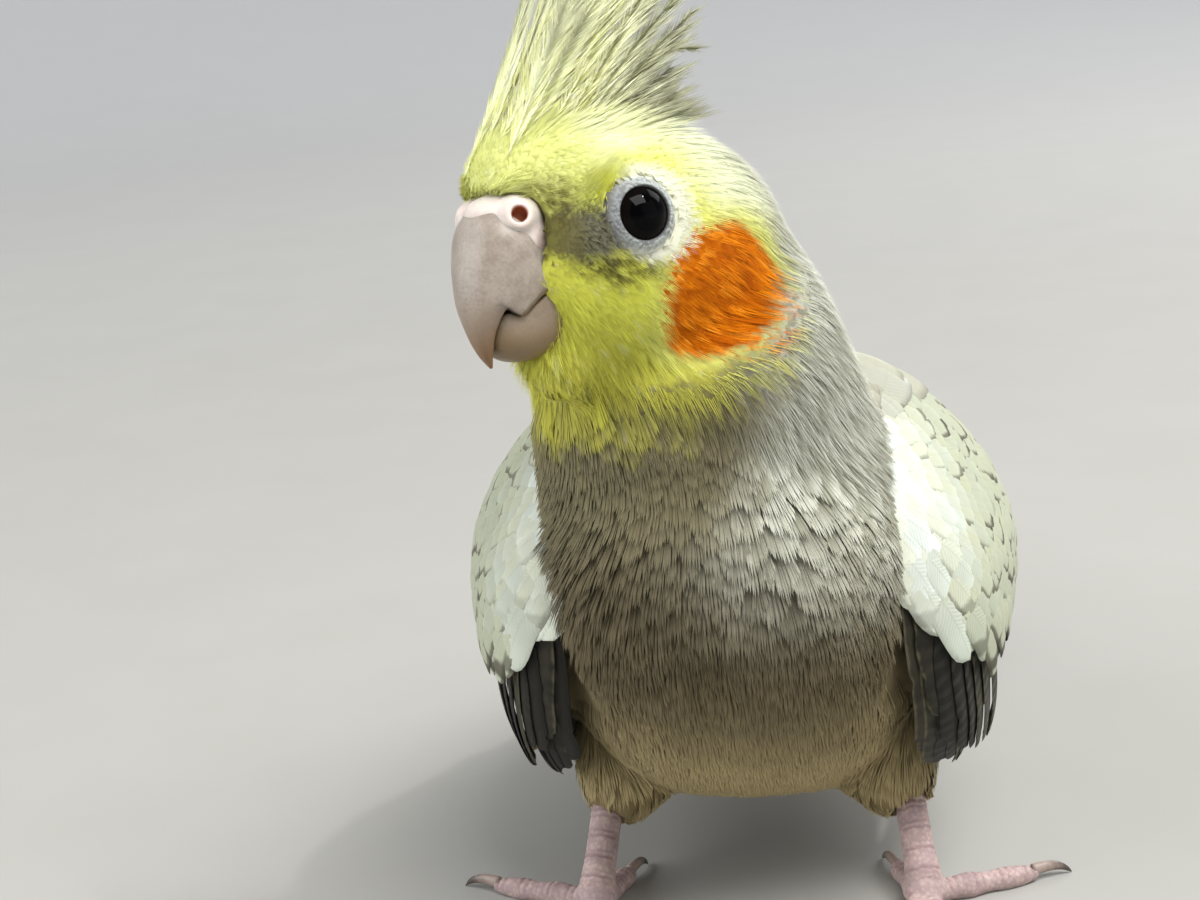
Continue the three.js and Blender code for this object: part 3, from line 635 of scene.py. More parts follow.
# %% Where a feather grows on the bird
TAUPE, WARM_GREY = colour("5c533e"), colour("756a52")
SIDE_GREY, BELLY_OLIVE = colour("c3c5b3"), colour("c0ae80")
NAPE_DARK, NAPE_PALE, UPPER_BREAST = colour("b2b3a2"), colour("e4e6d8"), colour("8b8467")
FACE_YELLOW, CROWN_YELLOW = colour("e9eb62"), colour("f6f9ca")
CROWN_BACK, THROAT = colour("eaeed4"), colour("c9c652")
BROW_YELLOW, OLIVE, DARK_OLIVE = colour("e2e684"), colour("8f8a35"), colour("5c5524")
ORANGE, PALE_ORANGE, DEEP_ORANGE = colour("f8930e"), colour("ffae40"), colour("cf6804")
SMUDGE, LILAC, RIM_WHITE = colour("5b5236"), colour("726f6d"), colour("f0f1e4")
DEEP_SHADE, TUFT_SHADE, WHITE = colour("6a6452"), colour("929292"), colour("ffffff")

# centres and radii from the side: forward, up
BROW_STREAKS, LORES = ((9.2, 1.4), (3.3, 2.4)), ((6.6, -1.8), (4.9, 2.7))
UNDER_EYE = ((1.4, -4.6), (5.6, 1.6))
CHEEK = ((-9.6, -6.8), (7.2, 6.7))
EYE_RIM = (-0.6, 0.3)
YELLOW_CENTRE, YELLOW_RADIUS, YELLOW_EDGE = (1.0, -1.6), 17.6, 3.0


def head_wires(finish, place):
    """The wires for out, forward and up, in millimetres from between the eyes."""
    offset = finish.vector("SUBTRACT", place, tuple(body_place(EYES)))
    axes = (head_left, head_forward, head_up)
    return [finish.vector("DOT_PRODUCT", offset, tuple(a / MM), output="Value") for a in axes]


def far(x, y, centre, radii=(1, 1)):
    """How far x and y lie from a centre, counted in radii."""
    across = (x - centre[0]) / radii[0]
    over = (y - centre[1]) / radii[1]
    return (across * across + over * over) ** 0.5


def plumage_colour(finish, place, reach, shade):
    """The plumage's colour at a feather's root place. reach runs from its root to its tip."""
    out, forward, up = head_wires(finish, place)
    out = abs(out)
    ragged = finish.noise(place, 3.2) - 0.5
    streaks = finish.noise(place, 0.9, detail=1) - 0.5
    clouds = finish.noise(place, 9, detail=1) - 0.5

    body = finish.blend(finish.fade(clouds + streaks * 0.6, -0.25, 0.3), TAUPE, WARM_GREY)
    side = finish.fade(forward + clouds * 8, -6, -20) * finish.fade(up + clouds * 8, -44, -26)
    body = finish.blend(side * 0.6, body, SIDE_GREY)
    body = finish.blend(finish.fade(up + clouds * 10, -42, -60) * 0.8, body, BELLY_OLIVE)
    body = finish.blend(finish.fade(up + clouds * 6, -34, -25) * 0.8, body, UPPER_BREAST)
    nape = finish.fade(forward, -10, -17) * finish.fade(up, -40, -22)
    pearls = finish.fade(streaks + ragged * 0.4, -0.14, 0.08)
    body = finish.blend(nape * 0.9, body, finish.blend(pearls, NAPE_DARK, NAPE_PALE))

    yellow = finish.blend(finish.fade(up + streaks * 8, -16, -8), THROAT, FACE_YELLOW)
    yellow = finish.blend(finish.fade(up + forward * 0.3 + ragged * 5, 3, 8), yellow, CROWN_YELLOW)
    low_brow = finish.fade(up + ragged * 3, 10.5, 6.5) * finish.fade(up, -1, 2)
    yellow = finish.blend(low_brow * finish.fade(forward, 2.5, 7) * 0.85, yellow, BROW_YELLOW)
    behind = finish.fade(forward + ragged * 4, -2, -9) * finish.fade(up, -2, 4)
    yellow = finish.blend(behind * 0.9, yellow, CROWN_BACK)
    dark_streaks = finish.fade(streaks + ragged * 0.5, 0.08, 0.26) * finish.fade(up, 4, -6)
    yellow = finish.blend(dark_streaks * 0.35, yellow, OLIVE)
    pale_streaks = finish.fade(streaks - ragged * 0.5, 0.1, 0.3)
    yellow = finish.blend(pale_streaks * 0.45, yellow, CROWN_YELLOW)
    from_face = far(forward, up, YELLOW_CENTRE) + ragged * 5 + streaks * 4
    face = finish.fade(from_face, YELLOW_RADIUS + YELLOW_EDGE, YELLOW_RADIUS - YELLOW_EDGE)
    tinted = finish.blend(face, body, yellow)

    brow_side = far(forward, up, *BROW_STREAKS) + ragged * 0.5
    low_streaks = finish.fade(brow_side, 1.3, 0.5) * finish.fade(shade + streaks * 0.8, 0.9, 0.1)
    tinted = finish.blend(low_streaks * finish.fade(out, 4, 6) * 0.85, tinted, DARK_OLIVE)
    from_lores = far(forward, up, *LORES) + ragged * 0.8 + streaks
    under_eye = far(forward, up, *UNDER_EYE) + ragged * 0.7 + streaks * 0.9
    lores = finish.fade(from_lores, 1.35, 0.6) * finish.fade(out, 3, 5)
    lores_tint = finish.blend(finish.fade(forward + ragged * 3, 8.5, 4.5), SMUDGE, LILAC)
    tinted = finish.blend(lores * 0.9, tinted, lores_tint)
    under_streaks = finish.fade(under_eye, 1.3, 0.6) * finish.fade(shade + streaks * 0.8, 1.0, 0.1)
    tinted = finish.blend(under_streaks * 0.85, tinted, SMUDGE)

    from_cheek = far(forward, up, *CHEEK) + ragged * 0.22 + streaks * 0.2
    orange = finish.blend(finish.fade(shade + streaks, 0.25, 0.85), DEEP_ORANGE, ORANGE)
    orange = finish.blend(finish.fade(shade + streaks * 0.6, 0.72, 1.05) * 0.8, orange, PALE_ORANGE)
    sides = finish.fade(out, 4, 7)
    tinted = finish.blend(finish.fade(from_cheek, 1.35, 1.08) * sides * 0.55, tinted, BROW_YELLOW)
    tinted = finish.blend(finish.fade(from_cheek, 1.07, 0.92) * sides, tinted, orange)

    eye = far(forward, up, EYE_RIM) + ragged * 1.2 + streaks * 0.8
    rim_round_eye = finish.fade(eye, 5.1, 4.2) * finish.fade(out, 5, 8) * finish.fade(forward, 3.5, 1)
    tinted = finish.blend(rim_round_eye * 0.85, tinted, RIM_WHITE)

    # painted shade: each feather darkens towards its root, where the feathers over it shade it, much less on
    # the face
    deep = 1 - finish.fade(reach, 0.4, 0.95)
    tinted = finish.blend(deep * (0.46 - face * 0.38), tinted, DEEP_SHADE, "MULTIPLY")
    return finish.blend(0.35, tinted, finish.blend(shade, TUFT_SHADE, WHITE), "MULTIPLY")


plumage = Finish("plumage", Roughness=0.9, Sheen_Weight=0.04, Sheen_Roughness=0.5, Specular_IOR_Level=0.07)
root_place = plumage.mark("root", "Vector")
plumage_base = plumage_colour(plumage, root_place, plumage.mark("reach"), plumage.mark("shade"))
plumage_finish = plumage.into(Base_Color=plumage_base)
print("the plumage's network has", len(plumage.nodes), "nodes")

# %% [markdown]
# The skin carries the same three marks as the coat: its own place as the root, a reach a little below
# half a feather, and an even shade.

# %% Colour the skin
SKIN_REACH, SKIN_SHADE = 0.4, 0.4

skin.data.materials.clear()
skin.data.materials.append(plumage_finish)
skin.data.attributes.new("root", "FLOAT_VECTOR", "POINT").data.foreach_set(
    "vector", skin_points.astype(np.float32).ravel()
)
for mark, level in (("reach", SKIN_REACH), ("shade", SKIN_SHADE)):
    levels = np.full(len(skin_points), level, np.float32)
    skin.data.attributes.new(mark, "FLOAT", "POINT").data.foreach_set("value", levels)
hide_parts("head", "neck", "torso", "thigh_left", "thigh_right")
made_pieces.append(skin)

# %% [markdown]
# ## The lie of the coat
#
# Feathers point away from the bill, round the eye, down the throat and along the body to the tail. A
# handful of guides, each a place and the heading there, says how. Every feather takes a mean of the
# guides, the nearest counting most, laid flat on the skin. Combing by hand would do the same slowly.

# %% Guides for the lie
HEAD_GUIDES = [
    ((0, 13, 5), (0, -0.6, 1)),
    ((0, 6, 11), (0, -1, 0.5)),
    ((0, -6, 12), (0, -1, 0)),
    ((6, -12, 9), (0.2, -1, -0.3)),
    ((0, -24, 4), (0, -0.5, -1)),
    ((7, 9, 1), (0.6, -1, 0.15)),
    ((7, 8, -5), (0.4, -1, -0.5)),
    ((9, 1, 6.5), (0.1, -1, 0.1)),
    ((12.5, -8, 1), (0.05, -1, -0.2)),
    ((10.5, 1, -7), (0.2, -1, -0.7)),
    ((12.5, -8, -8), (0.05, -1, -0.55)),
    ((11, -18, -6), (-0.2, -1, -0.8)),
    ((0, 5, -15), (0, -0.4, -1)),
    ((8, -1, -13), (0.15, -0.7, -1)),
]
BODY_GUIDES = [
    ((0, -33, 66), (0, 0.1, -1)),
    ((0, -27, 48), (0, 0.2, -1)),
    ((0, -8, 19), (0, 0.8, -0.6)),
    ((12, -24, 56), (0.15, 0.2, -1)),
    ((22, 6, 34), (0, 0.6, -0.8)),
    ((0, 30, 12), (0, 1, -0.1)),
    ((0, -2, 66), (0, 0.7, -0.7)),
    ((0, 22, 50), (0, 0.85, -0.5)),
    ((0, 48, 30), (0, 1, -0.35)),
    ((0, 80, 16), (0, 1, -0.15)),
    ((16, -12, 62), (0.2, 0.5, -1)),
    ((19, 5, 18), (0.1, -0.25, -1)),
    ((18.8, 5, 9), (0, -0.3, -1)),
]
EYE_CLEAR = 6.5
GUIDE_BLUR = 6.0


def both_sides(guides, place, heading):
    """Guide places and headings with their mirror images, in the scene's frame."""
    rows = [(side, p, h) for p, h in guides for side in ((1, -1) if p[0] else (1,))]
    places = np.array([place(side * p[0], p[1], p[2]) for side, p, h in rows])
    headings = np.array([heading(side * h[0], h[1], h[2]) for side, p, h in rows])
    return places, headings


head_side = both_sides(HEAD_GUIDES, head_place, head_heading)
body_side = both_sides(BODY_GUIDES, body_place, lambda *h: unit(h))
guide_places = np.concatenate([head_side[0], body_side[0]])
guide_headings = np.concatenate([head_side[1], body_side[1]])
eye_places = head_place(np.array([EYE_OUT, -EYE_OUT]), 0.0, 0.0)


def lie(points, normals):
    """The way that feathers lie at places on the skin."""
    square = ((points[:, None] - guide_places) ** 2).sum(-1) / MM**2
    weight = 1 / (square + GUIDE_BLUR) ** 2
    heading = unit((weight[..., None] * guide_headings).sum(1))
    for eye in eye_places:
        away = points - eye
        near = 1 - smooth(np.linalg.norm(away, axis=1) / MM, EYE_CLEAR - 1.5, EYE_CLEAR + 3)
        away = unit(away)
        towards = np.minimum((heading * away).sum(1), 0) * near
        heading = heading - away * towards[:, None]
    flat = heading - normals * (heading * normals).sum(1)[:, None]
    return unit(flat)


print("the coat follows", len(guide_places), "guides")

# %% [markdown]
# ## Roots spread over the skin
#
# Roots are drawn at random but never closer than a given spacing, as pores are on a real skin. Where
# the folded wing covers the body, its own feathers take over, so no tufts are rooted there.

# %% Spread the roots
random = np.random.default_rng(7)
face_corners = skin_points[skin_faces]
face_areas = np.linalg.norm(
    np.cross(face_corners[:, 1] - face_corners[:, 0], face_corners[:, 2] - face_corners[:, 0]), axis=1
)


def wing_cover_tree():
    """A search tree over both wings' outer surface."""
    u, turn = np.meshgrid(np.linspace(0.03, 0.97, 30), np.linspace(0.03, 1, 24), indexing="ij")
    share = along(PAD_LENGTH, turn) * u
    parts = [plate(*[wing_place(side, share, turn, rise) for rise in (6.5, 1.0)]) for side in (1, -1)]
    low_share, low_turn = np.meshgrid(np.linspace(0, 0.3, 16), np.linspace(-0.4, 0.1, 10), indexing="ij")
    for side in (1, -1):
        parts.append(plate(*[wing_place(side, low_share, low_turn, rise) for rise in (5.0, -1.0)]))
    points, faces = joined(parts)
    return BVHTree.FromPolygons(points.tolist(), faces[0].tolist())


wing_tree = wing_cover_tree()
WING_CLEAR = 1.6
under_wing = np.array(
    [wing_tree.find_nearest(Vector(p), WING_CLEAR * MM)[0] is not None for p in skin_points]
)
open_face = ~under_wing[skin_faces].all(1)


def spread(spacing, keep, tries=7):
    """Random roots on the skin where keep says so, at least spacing(points) millimetres apart."""
    middles = face_corners.mean(1)
    allowed = keep(middles) & open_face
    areas = np.where(allowed, face_areas, 0)
    finest = spacing(middles[allowed]).min() * MM
    count = int(tries * areas.sum() / 2 / finest**2 * 0.7)
    faces = random.choice(len(areas), count, p=areas / areas.sum())
    a, b = np.sort(random.random((2, count)), axis=0)
    shares = np.stack([a, b - a, 1 - b], -1)
    places = (face_corners[faces] * shares[..., None]).sum(1)
    room = spacing(places) * MM
    cell = room.max()
    keys = np.floor(places / cell).astype(int)
    grid, kept = {}, []
    nearby = [(i, j, k) for i in (-1, 0, 1) for j in (-1, 0, 1) for k in (-1, 0, 1)]
    for n, (x, y, z) in enumerate(keys.tolist()):
        p, r = places[n], room[n] ** 2
        close = [q for i, j, k in nearby for q in grid.get((x + i, y + j, z + k), ())]
        if close:
            gaps = places[close] - p
            if ((gaps * gaps).sum(1) < r).any():
                continue
        grid.setdefault((x, y, z), []).append(n)
        kept.append(n)
    return places[kept], faces[kept]


# %% [markdown]
# ## Tufts
#
# A small body feather shows as a fan of fine barbs. Each barb here is a thin closed spike that starts
# inside the skin, lies along the body and ends in a point, and a tuft is eight to twenty of them side by
# side. Body barbs keep their width almost to the tip, so a fan looks whole but for its combed end. Their
# facets are shaded flat, because rounded shading would turn them into rods. Flat cards with a picture of
# barbs would be lighter, but they'd look cut out at this distance.

# %% Grow tufts of barbs
PIECE_LIMIT = 190_000
ROOT_DEPTH, MIDDLE_LIFT, NARROWS_FROM, BARB_RIDGE = -0.35, 0.55, 0.81, 0.35


def barb_faces(rings):
    """Quads and end triangles of a three-sided spike with some rings of corners and a point."""
    quads = [(k, k + 1, k + 4, k + 3) for r in range(rings - 1) for k in (3 * r, 3 * r + 1)]
    quads += [(k + 2, k, k + 3, k + 5) for k in range(0, 3 * (rings - 1), 3)]
    last, tip = 3 * (rings - 1), 3 * rings
    ends = [(last, last + 1, tip), (last + 1, last + 2, tip), (last + 2, last, tip), (2, 1, 0)]
    return np.array(quads, int).reshape(-1, 4), np.array(ends)


def grow(
    name, roots, faces, length, width, lift, barbs, thick, bent, slot, fan=(0.42, 0.8, 1.0), even=0.4, flip=1
):
    """Tufts on the skin. length, width, lift and thick are millimetres for each root."""
    _, normals, _ = on_skin(roots)
    heading = lie(roots, normals) * flip
    half_way, middle_normals, _ = on_skin(roots + heading * (length / 2 * MM)[:, None])
    middle_heading = lie(half_way, middle_normals) * flip
    far_end, end_normals, _ = on_skin(half_way + middle_heading * (length / 2 * MM)[:, None])
    stages = [(roots, normals), (half_way, middle_normals), (far_end, end_normals)]
    frames = [(p, n, unit(np.cross(n, lie(p, n)))) for p, n in stages]

    shape = (len(roots), barbs)
    place = (np.arange(barbs) + random.random(shape)) / barbs * 2 - 1
    reach = 1 - 0.3 * place**2 - 0.1 * random.random(shape)
    rise = lift[:, None] * (0.85 + 0.3 * random.random(shape))
    levels = zip((ROOT_DEPTH, MIDDLE_LIFT, 1.0), fan)
    line = []
    for (p, n, across), (level, spread_share) in zip(frames, levels):
        side = place * (width / 2 * spread_share)[:, None]
        over = np.where(level < 0, level, level * rise)
        spot = p[:, None] + across[:, None] * (side * MM)[..., None] + n[:, None] * (over * MM)[..., None]
        line.append(spot)
    line[2] = mix(line[1], line[2], (2 * reach - 1)[..., None])

    radius = (thick[:, None] * (0.75 + 0.5 * random.random(shape)) / 2 * MM)[..., None]
    stops = [(line[0], 0, 0.0)]
    if bent:
        stops.append((mix(line[1], line[2], 2 * NARROWS_FROM - 1), 1, NARROWS_FROM))
    corners = []
    for spot, k, _ in stops:
        _, n, across = frames[k]
        wide, deep = across[:, None] * radius, n[:, None] * radius
        corners += [spot - wide, spot + wide, spot + deep * BARB_RIDGE]
    corners.append(line[2])
    points = np.stack(corners, 2)
    reaches = np.array([level for _, _, level in stops for _ in range(3)] + [1.0])
    shade = mix(random.random((len(roots), 1)), random.random(shape), even)
    quads, ends = barb_faces(len(stops))
    per_barb = 2 * len(quads) + len(ends)
    batch = PIECE_LIMIT // (per_barb * barbs)
    layout = face_layout[faces]
    for number, start in enumerate(range(0, len(roots), batch)):
        part = slice(start, start + batch)
        tufts = points[part]
        count = tufts.shape[0] * barbs
        first = (np.arange(count) * len(reaches))[:, None, None]
        lists = [(first + group).reshape(-1, group.shape[1]) for group in (quads, ends) if len(group)]
        patch = np.stack(np.broadcast_arrays(place[part][..., None], reaches * 2 - 1), -1)
        uv = layout[part][:, None, None] + patch * TUFT_PATCH / 2
        piece = make(
            f"{name}_{number + 1}",
            tufts.reshape(-1, 3),
            lists,
            plumage_finish,
            slot,
            uv.reshape(-1, 2),
            root=np.broadcast_to(line[0][part][:, :, None], tufts.shape).reshape(-1, 3),
            reach=np.broadcast_to(reaches, tufts.shape[:3]).ravel(),
            shade=np.broadcast_to(shade[part][..., None], tufts.shape[:3]).ravel(),
        )
        piece.data.shade_flat()
    print(name, len(roots), "tufts", len(roots) * barbs * per_barb, "triangles")


# %% [markdown]
# The face has the shortest and finest tufts, and they lengthen towards the neck. Round the eye and next
# to the bill they're shorter still. A short fringe at the brow's edge hangs forward over the cere.

# %% Head and face
HEAD_LOW = 17.0


def nearness(points):
    """Distances in millimetres: from the base of the bill and from the nearer eye's ring."""
    out, forward, up = head_measures(points)
    from_bill = np.sqrt((out * 0.8) ** 2 + (forward - 9) ** 2 + (up + 3) ** 2)
    gaps = np.linalg.norm(points[:, None] - eye_places, axis=-1).min(1) / MM
    return from_bill, gaps


def head_area(points):
    _, forward, up = head_measures(points)
    return (up > -HEAD_LOW + 0.35 * forward) & (nearness(points)[1] > 3.9)


def head_spacing(points):
    from_bill, from_eye = nearness(points)
    return mix(0.5, 0.95, smooth(from_bill, 5, 30)) * mix(0.75, 1, smooth(from_eye, 5, 9))


head_roots, head_faces = spread(head_spacing, head_area)
from_bill, from_eye = nearness(head_roots)
head_length = np.clip(1.2 + 0.2 * (from_bill - 4), 1.3, 6.0) * mix(0.5, 1, smooth(from_eye, 5, 10))
out, forward, up = head_measures(head_roots)
mane = smooth(up, 5, 9) * smooth(np.abs(out), 6.5, 2.5) * smooth(forward, -12, -5)
head_length = head_length + 3.5 * mane
beard = smooth(forward, 2, 6) * smooth(up, -7, -10) * smooth(up, -24, -17)
before_eye = smooth(forward, 0, 3) * smooth(from_eye, 7.5, 5.5) * smooth(np.abs(out), 4, 6)
grow(
    "feathers_head",
    head_roots,
    head_faces,
    length=head_length,
    width=0.7 + 0.2 * head_length,
    lift=0.25 + 0.11 * head_length + 1.6 * mane + 0.9 * beard + 1.1 * before_eye,
    barbs=9,
    thick=0.12 + 0.014 * head_length,
    bent=False,
    slot="face_feathers",
    fan=(0.9, 0.8, 0.45),
    even=0.3,
)


def brow_edge(points):
    out, forward, up = head_measures(points)
    return (up > 2.2) & (up < 5.0) & (forward > 7.5) & (np.abs(out) < 6)


def evenly(spacing):
    return lambda points: np.full(len(points), spacing)


fringe_roots, fringe_faces = spread(evenly(0.5), brow_edge)
grow(
    "feathers_brow",
    fringe_roots,
    fringe_faces,
    length=1.5 + 0.9 * random.random(len(fringe_roots)),
    width=np.full(len(fringe_roots), 0.8),
    lift=np.full(len(fringe_roots), 0.9),
    barbs=8,
    thick=np.full(len(fringe_roots), 0.12),
    bent=False,
    slot="face_feathers",
    fan=(0.9, 0.8, 0.5),
    flip=-1,
)

# %% [markdown]
# On the neck, breast, belly, back and thighs the feathers are broader fans, whose combed ends lie over
# one another in rows.

# %% Neck, trunk and thighs
RIGHT_SHOULDER, SHOULDER_SPREAD, SHOULDER_LIFT = (-19.0, -19.0, 57.0), 90.0, 2.2


def body_area(points):
    return ~head_area(points) & (nearness(points)[1] > 6)


def thinness(points):
    """1 on the body and towards 0 down the thighs."""
    z = (points - home_array)[:, 2] / MM
    return smooth(z, 5, 22)


def body_spacing(points):
    _, _, up = head_measures(points)
    return mix(1.15, 1.8, smooth(-up, 16, 36)) * mix(0.55, 1, thinness(points))


body_roots, body_faces = spread(body_spacing, body_area)
_, _, up = head_measures(body_roots)
body_length = mix(5.5, 9.0, smooth(-up, 16, 44)) * mix(0.62, 1, thinness(body_roots))
from_shoulder = (body_roots - body_place(RIGHT_SHOULDER)) / MM
shoulder = np.exp(-(from_shoulder**2).sum(1) / SHOULDER_SPREAD)
grow(
    "feathers_body",
    body_roots,
    body_faces,
    length=body_length,
    width=mix(0.28, 0.6, thinness(body_roots)) * body_length,
    lift=(0.3 + 0.09 * body_length) * mix(0.35, 1, thinness(body_roots)) + SHOULDER_LIFT * shoulder,
    barbs=20,
    thick=mix(0.14, 0.26, thinness(body_roots)) * mix(0.75, 1, smooth(-up, 18, 34)),
    bent=True,
    slot="body_feathers",
)

# %% [markdown]
# ## Stiff vanes
#
# The feathers of the wings and tail are firm blades with a shaft, and their barbs are zipped together.
# Each is a thin closed plate: a grid of points, a little domed across and thinner to its edges, whose
# rim has small notches where barbs have come apart. A height pattern in the finish adds the barbs.

# %% The blade of a feather
FLIGHT_SHAPE = [(0, 0.5), (0.2, 0.95), (0.5, 1), (0.78, 0.95), (0.92, 0.66), (0.98, 0.3), (1, 0.06)]
COVERT_SHAPE = [(0, 0.7), (0.4, 1), (0.75, 0.98), (0.92, 0.68), (0.98, 0.34), (1, 0.08)]
BLADE_THICKNESS = 0.32


def blade_grid(rows, columns):
    """Shares along a feather, closer together near its tip, and across it from -1 to 1."""
    u = 1 - (1 - np.linspace(0, 1, rows)) ** 1.5
    c = np.linspace(-1, 1, columns)
    return u[:, None] + 0 * c, c + 0 * u[:, None]


def ragged_edge(rows, columns, depth):
    """A share of the width for each grid point, with small notches in both rims."""
    ease = 1 + depth * 0.3 * (random.random((rows, 1)) - 0.5) * np.ones((1, columns))
    notch = random.random((rows, 2)) < 0.09
    cut = depth * (0.6 + 0.8 * random.random((rows, 2)))
    ease[:, 0] -= np.where(notch[:, 0], cut[:, 0], 0)
    ease[:, -1] -= np.where(notch[:, 1], cut[:, 1], 0)
    return ease


def collect(name, blades, finish, slot, layout):
    """One object from blades, each with top and bottom grids, shares along and across, and marks."""
    parts = [plate(blade["top"], blade["bottom"]) for blade in blades]
    points, faces = joined(parts)
    marks = {"reach": [], "across": [], "shade": [], "tone": [], "pearl": [], "root": []}
    patches = []
    for number, blade in enumerate(blades):
        u, c = (np.concatenate([grid.ravel(), grid.ravel()]) for grid in (blade["u"], blade["c"]))
        marks["reach"].append(u)
        marks["across"].append(c)
        marks["shade"].append(np.full(len(u), blade["shade"]))
        marks["tone"].append(np.full(len(u), blade.get("tone", 0)))
        marks["pearl"].append(np.full(len(u), blade.get("pearl", 0)))
        marks["root"].append(np.repeat(blade["top"][:1, blade["top"].shape[1] // 2], len(u), axis=0))
        corner, size = layout(number, blade)
        patches.append(np.stack([corner[0] + size * (c + 1) / 2, corner[1] + size * u], -1))
    marks = {key: np.concatenate(values) for key, values in marks.items()}
    piece = make(name, points, faces, finish, slot, np.concatenate(patches), **marks)
    print(name, len(blades), "blades", triangles(piece), "triangles")
    return piece


def cells(count):
    """A layout of count square cells, one for each blade."""
    side = math.ceil(math.sqrt(count))
    return lambda number, blade: (((number % side) / side, (number // side) / side), 0.94 / side)


# %% [markdown]
# A covered feather's barbs slant from its shaft to its edge. Their ridges are a wave across the blade,
# and it feeds the bump. The pearls of this variety are pale feathers with a dark mark in each edge near
# the tip. On the flight feathers it's the other way round: dark blades with a pale fringe, and with pale
# bars in one edge.

# %% Finishes of the blades
CREAM, MINT, SHELL, COVERT_GREY = colour("e6ebda"), colour("e2ebe6"), colour("abb297"), colour("9a9787")
PEARL_MARK, LEMON = colour("4a463a"), colour("eef0c4")
FLIGHT_DARK, FLIGHT_PALE, FRINGE = colour("1b1913"), colour("3c382b"), colour("7d785c")


def barb_ridges(finish, reach, across, ridges, slant):
    """A wave that follows the barbs, from 0 to 1."""
    run = reach * ridges - abs(across) * slant
    return finish.wave(run * (2 * math.pi)) * 0.5 + 0.5


covert = Finish("coverts", Roughness=0.8, Sheen_Weight=0.05, Specular_IOR_Level=0.12)
reach, across, shade = (covert.mark(name) for name in ("reach", "across", "shade"))
tone, pearl = covert.mark("tone"), covert.mark("pearl")
wobble = covert.noise(covert.place(), 1.4) - 0.5
body_tint = covert.blend(covert.fade(shade + wobble, 0.1, 0.8), MINT, CREAM)
body_tint = covert.blend(covert.fade(shade + wobble, 0.7, 1.1) * pearl * 0.6, body_tint, LEMON)
body_tint = covert.blend(pearl * 0.85, body_tint, SHELL)
body_tint = covert.blend(tone * covert.fade(reach, 0.95, 0.5), body_tint, COVERT_GREY)
rows_on = reach + wobble * 0.12 + abs(across) * 0.1
hidden = covert.fade(rows_on, 0.93, 0.86) * covert.fade(rows_on, 0.66, 0.74)
body_tint = covert.blend(hidden * pearl * covert.fade(shade, 0.12, 0.35) * 0.95, body_tint, PEARL_MARK)
edge_mark = covert.fade(abs(across) + wobble * 0.35, 0.62, 0.84) * covert.fade(reach, 1.02, 0.94)
body_tint = covert.blend(edge_mark * pearl * covert.fade(shade, 0.25, 0.5) * 0.85, body_tint, PEARL_MARK)
body_tint = covert.blend(covert.fade(reach, 0.8, 0.5) * 0.3, body_tint, COVERT_GREY)
shaft = covert.fade(abs(across), 0.09, 0.02)
body_tint = covert.blend(shaft * 0.12, body_tint, COVERT_GREY)
ridges = barb_ridges(covert, reach, across, 26, 4)
body_tint = covert.blend(ridges * 0.06, body_tint, colour("9a9a8c"), "MULTIPLY")
covert_finish = covert.into(Base_Color=body_tint, Normal=covert.bump(ridges + shaft, 0.2, 0.12))

flight = Finish("flight_feathers", Roughness=0.6, Sheen_Weight=0.04, Specular_IOR_Level=0.2)
reach, across, shade = (flight.mark(name) for name in ("reach", "across", "shade"))
pearl = flight.mark("pearl")
wobble = flight.noise(flight.place(), 1.6) - 0.5
blade_tint = flight.blend(flight.fade(shade + wobble, 0.2, 1), FLIGHT_DARK, FLIGHT_PALE)
fringe = flight.fade(abs(across) + wobble * 0.16, 0.84, 0.97)
blade_tint = flight.blend(fringe * flight.fade(shade + wobble, 0.3, 0.9) * 0.5, blade_tint, FRINGE)
bars = flight.wave(reach * 60 + wobble * 5)
pale_bars = flight.fade(bars, 0.1, 0.6) * flight.fade(across, -0.05, -0.4) * pearl
blade_tint = flight.blend(pale_bars, blade_tint, CREAM)
shaft = flight.fade(abs(across), 0.07, 0.02)
blade_tint = flight.blend(shaft * 0.5, blade_tint, colour("1c1a15"))
ridges = barb_ridges(flight, reach, across, 90, 7)
blade_tint = flight.blend(ridges * 0.22, blade_tint, colour("7a7a70"), "MULTIPLY")
flight_finish = flight.into(Base_Color=blade_tint, Normal=flight.bump(ridges + shaft, 0.4, 0.15))

# %% [markdown]
# ## Wing feathers
#
# The wing is feathered from the inside out: primaries and secondaries first, then their coverts, then
# rows of small coverts up to the wrist. Each lies a little over the last, on the wing's own surface.

# %% Lay a feather on the wing
BLADE_TILT, BLADE_DOME = 0.12, 0.25


def wing_blade(side, start, end, width, rise, shape, rows, columns=7, **marks):
    """A blade on the wing. start and end are share and turn, and rise(share, turn, u) is in millimetres."""
    u, c = blade_grid(rows, columns)
    share, turn = mix(start[0], end[0], u), mix(start[1], end[1], u)
    steps = [wing_place(side, share, turn + step, 0) for step in (-0.02, 0.02)]
    per_turn = np.maximum(np.linalg.norm(steps[1] - steps[0], axis=-1) / 0.04 / MM, 4)
    half = width * along(shape, u) / 2 * ragged_edge(rows, columns, 0.12)
    turn = turn + c * half / per_turn
    level = rise(share, turn, u) - BLADE_TILT * c + BLADE_DOME * (1 - c**2)
    deep = BLADE_THICKNESS * (1 - 0.6 * c**2) * (1 - 0.5 * u)
    top, bottom = wing_place(side, share, turn, level), wing_place(side, share, turn, level - deep)
    return {"top": top, "bottom": bottom, "u": u, "c": c * side, "shade": random.random(), **marks}


def jitter(size):
    return size * (2 * random.random() - 1)


WING_TUCK = 1.6


def tucked(level, turn):
    """A level off the wing's surface, drawn in where the cover turns in below the lower edge."""
    return (level + WING_TUCK) * smooth(turn, -0.26, 0.04) - WING_TUCK


